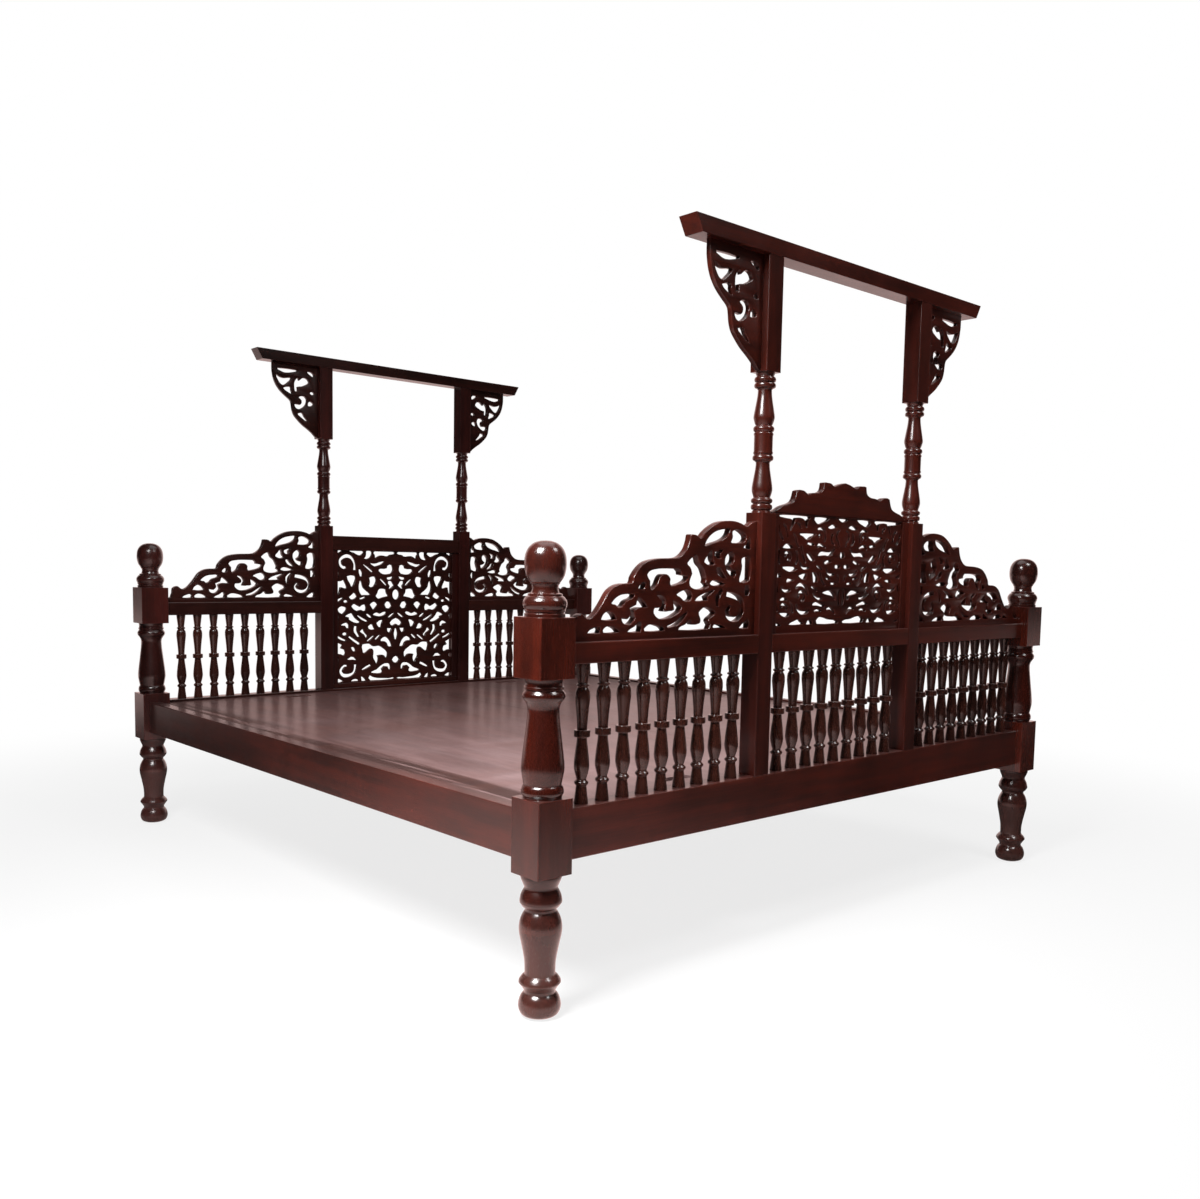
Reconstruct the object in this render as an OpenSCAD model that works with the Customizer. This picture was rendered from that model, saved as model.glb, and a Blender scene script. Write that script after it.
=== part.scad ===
// Carved hardwood bed with four turned corner posts and two openwork ends.
// Each end has turned spindles below, pierced scroll panels above them, two tall
// half-turned uprights and a head beam on pierced brackets. One end has a crested
// centre panel, the other a full-height pierced lattice. The deck is two lift-out boards.
// Origin: on the floor under the middle of the bed. X across, Y along, Z up.

/* [Overall] */
// Distance between corner post centres across the bed
post_gap_x = 1840; // [1600:10:2000]
// Distance between corner post centres along the bed
post_gap_y = 2060; // [1900:10:2200]
// Side of the square blocks on the corner posts
post_w = 85; // [80:1:95]
// Radius of the small rounding on square arrises, as a chamfer
arris = 1.5; // [0.5:0.5:3]

/* [Corner post heights, from the floor up] */
// Turned foot below the lower block
foot_h = 281; // [250:1:320]
// Lower block, which takes the bottom rails
low_block_h = 149; // [140:1:170]
// Turned vase between the blocks
vase_h = 230; // [180:1:280]
// Upper block, which takes the middle rails
top_block_h = 116; // [105:1:130]
// Rings, neck and ball on top
finial_h = 144; // [120:1:155]
// Largest radius of the posts' turned parts
turn_r = 42; // [38:0.5:42]

/* [Rails] */
// Height of the bottom rail at each end
end_rail_h = 102; // [90:1:112]
// Height of the side rails
side_rail_h = 100; // [85:1:110]
// Thickness of the side rails
side_rail_t = 36; // [30:1:45]
// How far the rails stand back from the outer faces of the post blocks
rail_inset = 18; // [10:1:25]
// How far the rails stand above the bottom of the lower block
rail_lift = 22; // [15:1:30]
// Height of the middle rails
mid_rail_h = 42; // [34:1:50]
// Height of the lattice end's top rail
top_rail_h = 51; // [40:1:60]
// Underside of the lattice end's top rail, above the bottom rail
lattice_h = 509; // [480:1:520]
// Length of a rail tenon
tenon_l = 26; // [15:1:30]
// Thickness of a rail tenon
tenon_t = 14; // [10:1:18]
// Clearance around a tenon, tongue or plate
fit_gap = 0.2; // [0.1:0.05:0.4]

/* [Uprights and beam] */
// Clear width between the two uprights of an end
centre_w = 551; // [520:1:600]
// Side of the square parts of an upright
upright_w = 49; // [46:1:52]
// Square part of the upright above the bottom rail
upright_sq_h = 595; // [590:1:640]
// Turned part of the upright
upright_turn_h = 310; // [280:1:340]
// Square head of the upright under the beam
upright_head_h = 251; // [245:1:280]
// Height of the head beam
beam_h = 36; // [28:1:45]
// Width of the head beam
beam_w = 52; // [50:1:70]
// Length of the head beam along its top
beam_l = 1120; // [1100:10:1300]
// How much shorter each end of the beam is underneath
beam_bevel = 20; // [0:1:30]
// Tenon on top of an upright
head_tenon_h = 18; // [12:1:22]

/* [Spindles] */
// Spindles in each bay
spindle_n = 9; // [7:1:9]
// Largest diameter of a spindle's collar
collar_d = 32; // [26:1:34]
// Diameter of a spindle's round tenons
peg_d = 12; // [8:1:14]
// Length of a spindle's round tenons
peg_l = 12; // [8:1:15]

/* [Openwork] */
// Thickness of the scroll panels
scroll_t = 18; // [12:1:22]
// Thickness of the centre openwork
jali_t = 10; // [8:1:14]
// How far the centre openwork stands out from the middle of the end
jali_out = 3; // [0:0.5:4]
// Thickness of the brackets
bracket_t = 13; // [10:1:20]
// Thickness of the crest board
crest_t = 18; // [16:1:24]
// Width of the stiles beside the centre openwork
stile_w = 25; // [18:1:30]
// Thickness of the stiles beside the centre openwork
stile_t = 24; // [20:1:30]
// Height of the sill strip under the lattice
sill_h = 17; // [12:1:24]
// Depth of the grooves that hold the panels
groove = 6; // [4:0.5:8]
// Height of a scroll panel at the upright, above the middle rail
scroll_h = 254; // [230:1:256]
// Height of the crested centre panel, from the middle rail to the crest board
crest_panel_h = 274; // [250:1:290]
// Height of the crest board
crest_h = 84; // [70:1:110]
// Width of a bracket along the beam
bracket_w = 171; // [150:1:190]
// Height of a bracket along the upright
bracket_h = 250; // [220:1:250]
// How much wider each opening of a scroll panel is cut than drawn, each side
scroll_ease = 5; // [0:0.5:5]
// The same for the lattice
lattice_ease = 4; // [0:0.5:4]
// The same for the crested centre panel
crest_ease = 6; // [0:0.5:6]
// The same for the brackets
bracket_ease = 3.5; // [0:0.5:3.5]

/* [Deck] */
// Thickness of the deck boards
deck_t = 18; // [15:1:25]
// How far the deck lies below the top of the side rails
deck_drop = 6; // [2:1:15]
// Running gap around each deck board
deck_gap = 1; // [0.5:0.5:3]
// Length of a hand slot
slot_l = 100; // [80:5:130]
// Width of a hand slot
slot_w = 30; // [25:1:40]
// Distance of a hand slot from the end of its board
slot_in = 74; // [70:1:120]
// Width of a cross bearer
bearer_w = 52; // [45:1:55]
// Height of a cross bearer
bearer_h = 45; // [40:1:50]
// Thickness of the ledger strips inside the side rails
ledger_t = 25; // [18:1:35]
// Height of the ledger strips
ledger_h = 26; // [20:1:28]
// Distance of the outer bearers from the hand slots, to their middle
bearer_in = 66; // [60:2:90]

/* [Rail hooks] */
// Thickness of the steel plates
plate_t = 4; // [3:0.5:5]
// Width of the steel plates
plate_w = 20; // [16:1:24]
// Height of the steel plates
plate_h = 84; // [70:1:84]
// Height of one hook
hook_h = 22; // [18:1:26]
// Thickness of a hook
hook_t = 4; // [3:0.5:5]

/* [Hidden] */
$fn = 48;

dark = "#3a1713";
red = "#4a1a14";
deep = "#2e1210";
board = "#6b4640";
raw = "#7a5236";
steel = "#8d8f92";

hx = post_gap_x / 2;
hy = post_gap_y / 2;
hp = post_w / 2;
uw = upright_w / 2;
low_z1 = foot_h + low_block_h;
up_z0 = low_z1 + vase_h;
up_z1 = up_z0 + top_block_h;
post_h = up_z1 + finial_h;
rail_z0 = foot_h + rail_lift;
rail_z1 = rail_z0 + end_rail_h;
side_z1 = rail_z0 + side_rail_h;
mid_z0 = up_z0 + 25;
mid_z1 = mid_z0 + mid_rail_h;
up_x = centre_w / 2 + uw;
bay_x0 = -hx + hp;
bay_x1 = -up_x - uw;
bay_w = bay_x1 - bay_x0;
half = centre_w / 2;
turn_z0 = rail_z1 + upright_sq_h;
turn_z1 = turn_z0 + upright_turn_h;
beam_z0 = turn_z1 + upright_head_h;
beam_z1 = beam_z0 + beam_h;
top_rail_z = rail_z1 + lattice_h;
sill_z1 = rail_z1 + sill_h;
crest_z = mid_z1 + crest_panel_h;
rail_d = post_w - 2 * rail_inset;
side_x0 = -hx - hp + rail_inset;
side_x1 = side_x0 + side_rail_t;
side_xm = (side_x0 + side_x1) / 2;
deck_z1 = side_z1 - deck_drop;
deck_z0 = deck_z1 - deck_t;
bearer_z0 = deck_z0 - bearer_h;
ledger_z0 = bearer_z0 - ledger_h;
deck_y = hy - rail_d / 2 - deck_gap;
deck_x = -side_x1 - deck_gap;
post_y = hy - hp;
plate_z = rail_z0 + side_rail_h / 2;
eps = 0.01;
curve_tol = 0.15;
cut_tol = 0.7;

// Curves. Smooth curve through hand-picked points, closed or open.
function cr(a, b, c, d, t) = 0.5 * (2 * b + (c - a) * t
  + (2 * a - 5 * b + 4 * c - d) * t * t + (3 * b - a - 3 * c + d) * t * t * t);
// A point between b and c, left out where the curve is straight there to within t
function between(a, b, c, d, t) = let (q = cr(a, b, c, d, 0.5), e = q - (b + c) / 2)
  norm([e[0], e[1]]) > t ? [b, q] : [b];
function ring(p, t = curve_tol) = let (m = len(p)) [for (i = [0 : m - 1])
  each between(p[(i + m - 1) % m], p[i], p[(i + 1) % m], p[(i + 2) % m], t)];
function sweep(p, t = curve_tol) = let (m = len(p) - 1) [for (i = [0 : m - 1])
  each between(p[max(i - 1, 0)], p[i], p[i + 1], p[min(i + 2, m)], t), p[m]];
// The same with three points between each two, for the larger turned parts
function fine(p) = let (m = len(p) - 1) [for (i = [0 : m - 1]) for (k = [0 : 3])
  cr(p[max(i - 1, 0)], p[i], p[i + 1], p[min(i + 2, m)], k / 4), p[m]];
// A brush stroke along [x, z, width] points, blunt at both ends
function brush(q, t = curve_tol) = let (c = sweep(q, t), m = len(c) - 1,
  s = [for (i = [0 : m]) let (d = c[min(i + 1, m)] - c[max(i - 1, 0)],
    l = norm([d[0], d[1]])) [-d[1], d[0]] / l * c[i][2] / 2])
  concat([for (i = [0 : m]) [c[i][0], c[i][1]] + s[i]],
    [for (i = [m : -1 : 0]) [c[i][0], c[i][1]] - s[i]]);
function dot(x, z, r) = [for (a = [0 : 40 : 320]) [x + r * cos(a), z + r * sin(a)]];
function oval(z, rx, rz) = [for (a = [0 : 30 : 330]) [rx * cos(a), z + rz * sin(a)]];
// Widen one opening by g on each side, but not past the limit on either side of x = 0
function eased(p, g, lim = 999) = let (x = [for (q = p) q[0]], c = (max(x) + min(x)) / 2,
  h = (max(x) - min(x)) / 2)
  [for (q = p) [min(max(c + (q[0] - c) * (h + g) / h, -lim), lim), q[1]]];
function flip(p) = [for (i = [len(p) - 1 : -1 : 0]) [-p[i][0], p[i][1]]];
function both(l) = concat(l, [for (p = l) flip(p)]);
function fitted(p, x0, sx, z0, sz) = [for (q = p) [x0 + q[0] * sx, z0 + q[1] * sz]];
function starts(l) = [for (i = 0, s = 0; i < len(l); s = s + len(l[i]), i = i + 1) s];
// A turned profile drawn over a height d, fitted between z0 and z1 with its radii scaled
// by k, and carried on by a below and b above into the squares that it grows out of
function turned(p, z0, z1, d, k, a = 1, b = 1) = [for (q = p) [q[0] * k,
  q[1] <= 0 ? z0 - a : q[1] >= d ? z1 + b : z0 + q[1] * (z1 - z0) / d]];

module slab(t, y = 0) {
  translate([0, y, 0]) rotate([90, 0, 0]) linear_extrude(t, center = true) children();
}
module pierced(outline, holes) {
  l = concat([outline], holes);
  s = starts(l);
  polygon(points = [for (p = l) each p],
    paths = [for (i = [0 : len(l) - 1]) [for (k = [0 : len(l[i]) - 1]) s[i] + k]]);
}
module box(x0, x1, y0, y1, z0, z1) {
  translate([x0, y0, z0]) cube([x1 - x0, y1 - y0, z1 - z0]);
}
// Square stick with chamfered long arrises, centred on X and Y
module stick(w, z0, z1, c = arris) {
  h = w / 2;
  translate([0, 0, z0]) linear_extrude(z1 - z0) polygon([[-h + c, -h], [h - c, -h],
    [h, -h + c], [h, h - c], [h - c, h], [-h + c, h], [-h, h - c], [-h, -h + c]]);
}

// Turned profiles, drawn as [radius, height] points
foot_pts = concat([[0, 0]], fine([[25, 0], [37, 6], [42, 21], [38, 38], [31, 47]]),
  fine([[31, 51], [35, 58], [41.5, 67]]), fine([[41, 71], [36, 78], [30.5, 83]]),
  fine([[30, 87], [31, 110], [36, 138], [42, 168], [41, 187], [36, 201], [31, 209]]),
  fine([[31, 213], [37, 219], [41.5, 226]]), fine([[41.5, 230], [39, 241], [33, 253]]),
  fine([[33, 257], [36, 264], [40, 274], [40, 281]]), [[0, 281]]);
vase_pts = concat([[0, 0], [38, 0], [38, 3]],
  fine([[38.5, 4], [41.5, 11], [40, 20], [37, 25]]),
  fine([[37, 27], [40, 42], [42, 58], [40, 82], [36, 115], [32, 150], [31, 170]]),
  fine([[31.5, 173], [33, 179], [37, 186]]), fine([[38, 187], [41.5, 193], [41.5, 200], [37, 207]]),
  [[36, 208], [38.5, 209.5], [38.5, 214]], fine([[37, 215], [36.5, 222], [38, 230]]),
  [[0, 230]]);
finial_pts = concat([[0, 0], [39, 0], [39, 6.5], [37, 8], [37, 9.5], [39, 11], [39, 14]],
  fine([[39, 15], [42, 22], [41.5, 31], [36, 39]]), [[33, 40], [33, 44]],
  fine([[27, 46], [25, 54], [26.5, 62]]), [[28.5, 63.5], [28.5, 66]],
  fine([[29, 66], [36, 77], [39.5, 91], [40, 105], [38, 119], [32, 131], [22, 139.5],
    [10, 143.5]]), [[0, 144]]);
upright_pts = concat([[0, 0], [22, 0], [22, 3], [19, 6], [23, 8], [24.2, 11], [24.2, 15],
  [23, 18], [19, 20], [23, 23], [24.2, 26], [24.2, 29], [23, 31], [19, 34]],
  fine([[19.5, 37], [22.5, 47], [23, 57], [20, 77], [16.5, 98], [15.5, 112]]),
  [[18, 115], [22, 117], [23.5, 120], [23.5, 124], [22, 127], [19.5, 129], [21.7, 131],
  [22.2, 134], [21, 137], [21, 171], [22.2, 174], [21.7, 177], [19.5, 179], [22, 181],
  [23.5, 184], [23.5, 188], [22, 191], [18, 194]],
  fine([[20, 197], [23, 207], [23.5, 215], [20, 236], [16.5, 258], [15.5, 272]]),
  [[18, 275], [23, 277], [24.2, 280], [24.2, 283], [23, 286], [19, 288], [23, 290],
  [24.2, 293], [24.2, 296], [23, 299], [19, 302], [21, 306], [22, 310], [0, 310]]);
spindle_pts = concat([[13.5, 0], [13.2, 4], [9.8, 36], [11.5, 38], [13.4, 40.5], [13.4, 43.5],
  [11.5, 46], [9.4, 48]],
  sweep([[9.2, 50], [11.8, 59], [14.2, 71], [14.4, 81], [12.8, 100], [10.4, 120], [9.4, 132]]),
  [[14.4, 133.5], [15.2, 134.5], [15.2, 145.5], [14.4, 147], [9.8, 147.5]],
  sweep([[9.4, 149.5], [10.2, 165], [12.4, 192], [14.2, 210], [13.2, 224], [9.2, 232]]),
  [[12.6, 234.5], [12.6, 237], [9.2, 239.5], [13.3, 276], [13.5, 280]]);

// Openings of the scroll panel: x from the post's axis, z from the middle rail's top
scroll_cut = [
  [[106, 16], [115, 24], [127, 27], [128, 16]], [[141, 42], [155, 59], [171, 42]],
  [[147, 16], [151, 26], [164, 27], [179, 16]],
  [[168, 74], [186, 89], [216, 92], [218, 86], [201, 78], [194, 69], [183, 65], [177, 71]],
  [[235, 85], [256, 65], [239, 65], [224, 59], [228, 44], [215, 31], [201, 33], [196, 44],
    [209, 41], [218, 52], [215, 63], [230, 70]],
  [[213, 16], [227, 26], [238, 35], [240, 16]], [[241, 104], [246, 115], [250, 113], [248, 101]],
  [[260, 16], [265, 26], [275, 29], [292, 26], [308, 16]],
  [[265, 131], [284, 142], [348, 144], [355, 132], [374, 129], [368, 119], [329, 108],
    [327, 123], [318, 132], [305, 132], [297, 123], [292, 112], [275, 101], [273, 119]],
  [[293, 89], [308, 86], [316, 71], [310, 56], [325, 56], [338, 59], [335, 78], [357, 63],
    [344, 50], [321, 41], [299, 41], [286, 52], [288, 63], [297, 63], [306, 67], [305, 78]],
  [[382, 157], [404, 174], [412, 157], [423, 146], [432, 123], [430, 116], [438, 108],
    [423, 102], [404, 102], [391, 108], [389, 119], [395, 134], [389, 149]],
  [[352, 91], [376, 101], [389, 87], [383, 78], [372, 76], [359, 86]],
  [[408, 77], [423, 89], [456, 99], [438, 86], [441, 78], [426, 77]],
  [[415, 52], [432, 63], [449, 59], [462, 50], [449, 41], [443, 33], [445, 16], [359, 16],
    [378, 27], [391, 37], [398, 26], [419, 29], [419, 41]],
  [[434, 194], [445, 213], [464, 226], [488, 232], [503, 232], [495, 217], [477, 207], [453, 200]],
  [[521, 228], [536, 232], [552, 224], [558, 215], [549, 205], [525, 203], [518, 205], [522, 217]],
  [[570, 217], [573, 192], [560, 194], [565, 202]],
  [[434, 160], [440, 172], [449, 185], [453, 164], [457, 157], [447, 153]],
  [[482, 188], [477, 179], [478, 169], [469, 170], [467, 181]],
  [[472, 146], [479, 149], [487, 136], [495, 124], [479, 131]],
  [[521, 174], [513, 183], [502, 173], [500, 157], [507, 139], [522, 127], [526, 141],
    [517, 144], [511, 153], [519, 161]],
  [[553, 169], [573, 172], [573, 123], [549, 118], [551, 134], [554, 153]],
  [[453, 114], [464, 121], [490, 113], [470, 109], [460, 110]],
  [[552, 16], [571, 33], [573, 16]], [[464, 16], [466, 26], [479, 27], [503, 16]]];
scroll_strokes = [
  [[326, 23, 3], [346, 29, 8], [362, 41, 8], [374, 53, 3]],
  [[485, 101, 4], [476, 86, 8], [476, 64, 4]],
  [[507, 91, 10], [528, 87, 12], [545, 78, 10], [552, 61, 7], [546, 43, 9], [530, 35, 10],
    [514, 41, 10], [509, 54, 9], [517, 65, 6]],
  [[570, 110, 5], [571, 99, 7], [570, 88, 5]]];
scroll_edge = concat([[64, 18], [69, 33], [71, 47], [84, 54], [92, 49], [102, 44], [117, 50]],
  [[130, 63], [142, 78], [156, 97], [175, 109], [196, 113], [218, 114], [222, 125]],
  [[233, 140], [250, 154], [269, 161], [299, 165], [329, 166], [348, 168], [363, 175]],
  [[376, 188], [383, 204], [386, 216], [391, 217.5], [404, 216], [415, 210]],
  [[427, 221], [445, 234], [471, 246], [501, 250.5], [528, 250], [550, 245], [563, 241]],
  [[578, 249], [595.5, 254]]);

// Openings of the lattice, left half: x from its middle, z from 5 under the bottom rail's top
lattice_cut = [
  [[-250, 498], [-251, 508], [-243, 512], [-232, 512], [-239, 506], [-246, 501]],
  [[-193, 512], [-145, 512], [-146, 503], [-155, 496], [-166, 499], [-178, 506]],
  [[-126, 512], [-109, 512], [-108, 501], [-113, 490], [-124, 484], [-132, 485], [-127, 494]],
  [[-89, 512], [-14, 512], [-13, 504], [-29, 501], [-36, 496], [-65, 498], [-77, 493],
    [-87, 486], [-88, 499]],
  [[-106, 468], [-90, 466], [-75, 471], [-54, 476], [-65, 465], [-74, 461], [-90, 456], [-99, 461]],
  [[-71, 440], [-60, 430], [-45, 427], [-25, 430], [-17, 445], [-20, 461], [-29, 464],
    [-38, 459], [-40, 450], [-50, 447], [-65, 447]],
  [[-249, 399], [-232, 400], [-225, 405], [-220, 398], [-213, 379], [-215, 373], [-224, 375],
    [-235, 377], [-239, 355], [-248, 352], [-250, 378]],
  [[-204, 418], [-177, 419], [-178, 400], [-187, 378], [-194, 391]],
  [[-152, 400], [-146, 400], [-140, 378], [-128, 364], [-114, 350], [-133, 349], [-145, 348],
    [-152, 360], [-155, 378]],
  [[-111, 413], [-93, 417], [-90, 398], [-97, 381], [-106, 377], [-112, 382], [-109, 396]],
  [[-35, 414], [-17, 419], [-23, 408], [-32, 407]],
  [[-30, 400], [-19, 400], [-12, 385], [-20, 376], [-28, 371], [-25, 383], [-30, 392]],
  [[-70, 371], [-46, 369], [-43, 354], [-38, 344], [-56, 340], [-72, 334], [-83, 345], [-77, 357]],
  [[-195, 341], [-181, 356], [-175, 353], [-170, 343], [-184, 332]],
  [[-242, 295], [-232, 306], [-215, 302], [-217, 290], [-227, 278], [-238, 286]],
  [[-185, 306], [-175, 316], [-167, 311], [-155, 304], [-146, 311], [-136, 313], [-132, 301],
    [-134, 290], [-142, 289], [-151, 293], [-165, 289], [-176, 295]],
  [[-108, 312], [-95, 323], [-83, 312], [-90, 301], [-97, 292], [-103, 303]],
  [[-45, 311], [-38, 323], [-27, 319], [-22, 306], [-29, 297], [-40, 299]],
  [[-95, 274], [-81, 282], [-70, 277], [-54, 284], [-45, 281], [-54, 272], [-70, 268]],
  [[-211, 270], [-190, 281], [-182, 273], [-173, 260], [-158, 248], [-165, 244], [-182, 248],
    [-198, 258], [-197, 265]],
  [[-229, 237], [-213, 246], [-204, 237], [-204, 226], [-211, 226], [-216, 235]],
  [[-150, 212], [-141, 222], [-136, 210], [-126, 195], [-132, 187], [-137, 200], [-144, 206]],
  [[-116, 230], [-107, 239], [-101, 235], [-98, 226], [-95, 219], [-107, 218], [-114, 222]],
  [[-80, 242], [-71, 251], [-60, 252], [-64, 238], [-66, 226], [-75, 230]],
  [[-34, 221], [-21, 221], [-24, 211], [-27, 203], [-33, 210]],
  [[-250, 176], [-243, 173], [-228, 163], [-234, 151], [-221, 145], [-218, 134], [-224, 124],
    [-239, 131], [-250, 132]],
  [[-140, 162], [-110, 163], [-97, 154], [-74, 155], [-54, 143], [-40, 128], [-44, 107],
    [-54, 118], [-65, 121], [-80, 119], [-77, 107], [-79, 94], [-85, 87], [-90, 98],
    [-97, 111], [-96, 134], [-101, 145], [-110, 145], [-124, 134], [-135, 130], [-139, 140]],
  [[-60, 172], [-61, 180], [-46, 189], [-32, 179], [-24, 164], [-21, 153], [-29, 151],
    [-36, 155], [-39, 164], [-46, 171], [-54, 173]],
  [[-202, 109], [-191, 118], [-180, 116], [-172, 105], [-182, 107], [-194, 107]],
  [[-103, 56], [-81, 66], [-68, 77], [-52, 86], [-35, 87], [-27, 77], [-27, 63], [-34, 65],
    [-38, 75], [-52, 77], [-62, 67], [-58, 57], [-66, 51], [-88, 52]],
  [[-251, 38], [-243, 38], [-228, 28], [-243, 25], [-249, 29]],
  [[-187, 26], [-178, 33], [-168, 32], [-164, 26]],
  [[-145, 41], [-139, 38], [-132, 26], [-144, 26]],
  [[-109, 44], [-97, 38], [-77, 32], [-34, 29], [-18, 31], [-14, 26], [-106, 25]]];
lattice_strokes = [
  [[-211, 453, 8], [-220, 450, 10], [-230, 461, 10], [-231, 477, 10], [-221, 488, 11],
    [-208, 493, 12], [-194, 489, 11], [-184, 477, 9], [-179, 461, 8], [-179, 442, 11]],
  [[-136, 463, 2], [-121, 450, 6], [-105, 435, 5]], [[-248, 433, 5], [-248, 424, 6], [-248, 415, 4]],
  [[-153, 444, 4], [-151, 431, 7], [-150, 418, 4]], [[-151, 334, 3], [-143, 337, 6], [-136, 341, 3]],
  [[-64, 409, 3], [-54, 397, 6], [-45, 385, 4]], [[-246, 322, 4], [-239, 331, 7], [-229, 338, 3]],
  [[-122, 277, 4], [-115, 269, 7], [-109, 263, 4]], [[-28, 263, 4], [-20, 271, 6], [-12, 279, 3]],
  [[-249, 275, 4], [-249, 264, 6], [-249, 254, 4]], [[-160, 272, 3], [-144, 259, 7], [-127, 249, 5]],
  [[-170, 232, 8], [-171, 214, 9], [-162, 192, 6]], [[-248, 199, 4], [-233, 187, 7], [-217, 179, 4]],
  [[-196, 194, 6], [-177, 178, 8], [-159, 164, 8]], [[-119, 174, 4], [-109, 184, 6], [-99, 194, 4]],
  [[-85, 180, 5], [-79, 188, 6], [-73, 196, 4]], [[-184, 154, 6], [-181, 146, 8], [-179, 138, 5]],
  [[-249, 115, 5], [-249, 108, 6], [-249, 101, 5]],
  [[-206, 84, 4], [-216, 85, 8], [-226, 75, 10], [-229, 64, 11], [-221, 51, 12], [-207, 48, 12],
    [-191, 52, 10], [-181, 61, 9], [-177, 75, 9], [-176, 88, 11]],
  [[-141, 67, 4], [-126, 76, 8], [-112, 84, 7]]];
lattice_mid = [oval(350, 11, 19), ring([[-22, 243], [0, 260], [22, 243], [13, 231], [0, 238],
  [-13, 231]]), ring([[0, 114], [12, 100], [0, 87], [-12, 100]]),
  brush([[0, 220, 4], [0, 199, 9], [0, 178, 4]])];

// Openings of the crested panel, left half: x from its middle, z from the middle rail's top
crest_cut = [
  [[-237, 268], [-225, 272], [-139, 272], [-144, 263], [-145, 248], [-151, 248], [-153, 261],
    [-163, 267], [-184, 267], [-190, 253], [-203, 237], [-198, 253], [-197, 263], [-211, 265]],
  [[-107, 271], [-63, 271], [-81, 260], [-94, 256], [-103, 260]],
  [[-54, 249], [-40, 257], [-29, 251], [-43, 247]],
  [[-161, 231], [-112, 232], [-126, 225], [-137, 217], [-151, 225]],
  [[-222, 197], [-210, 207], [-197, 197]],
  [[-90, 181], [-79, 191], [-53, 190], [-37, 200], [-36, 197], [-50, 182], [-67, 183]],
  [[-221, 153], [-183, 153], [-185, 146], [-198, 142], [-212, 146]],
  [[-205, 117], [-203, 126], [-190, 123], [-198, 119]],
  [[-161, 133], [-141, 139], [-143, 130], [-148, 124]],
  [[-68, 93], [-50, 98], [-39, 96], [-30, 86], [-28, 76], [-33, 76], [-38, 85], [-50, 88]],
  [[-227, 76], [-222, 82], [-215, 81], [-215, 76]],
  [[-227, 46], [-202, 45], [-209, 37], [-216, 38]],
  [[-192, 19], [-176, 27], [-163, 31], [-156, 25], [-151, 19]],
  [[-127, 19], [-121, 30], [-115, 19]],
  [[-87, 19], [-81, 34], [-57, 32], [-43, 28], [-23, 26], [-17, 19]]];
crest_strokes = [
  [[-131, 210, 4], [-124, 208, 6], [-118, 207, 4]], [[-131, 186, 7], [-124, 176, 10], [-116, 168, 6]],
  [[-64, 163, 5], [-57, 167, 8], [-51, 170, 5]], [[-242, 137, 4], [-241, 133, 6], [-240, 129, 4]],
  [[-107, 142, 5], [-104, 129, 9], [-104, 118, 7]], [[-37, 115, 3], [-32, 115, 5], [-27, 114, 3]],
  [[-105, 64, 4], [-93, 67, 8], [-71, 60, 4]], [[-246, 22, 3], [-241, 20, 5], [-236, 18, 3]]];
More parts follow.
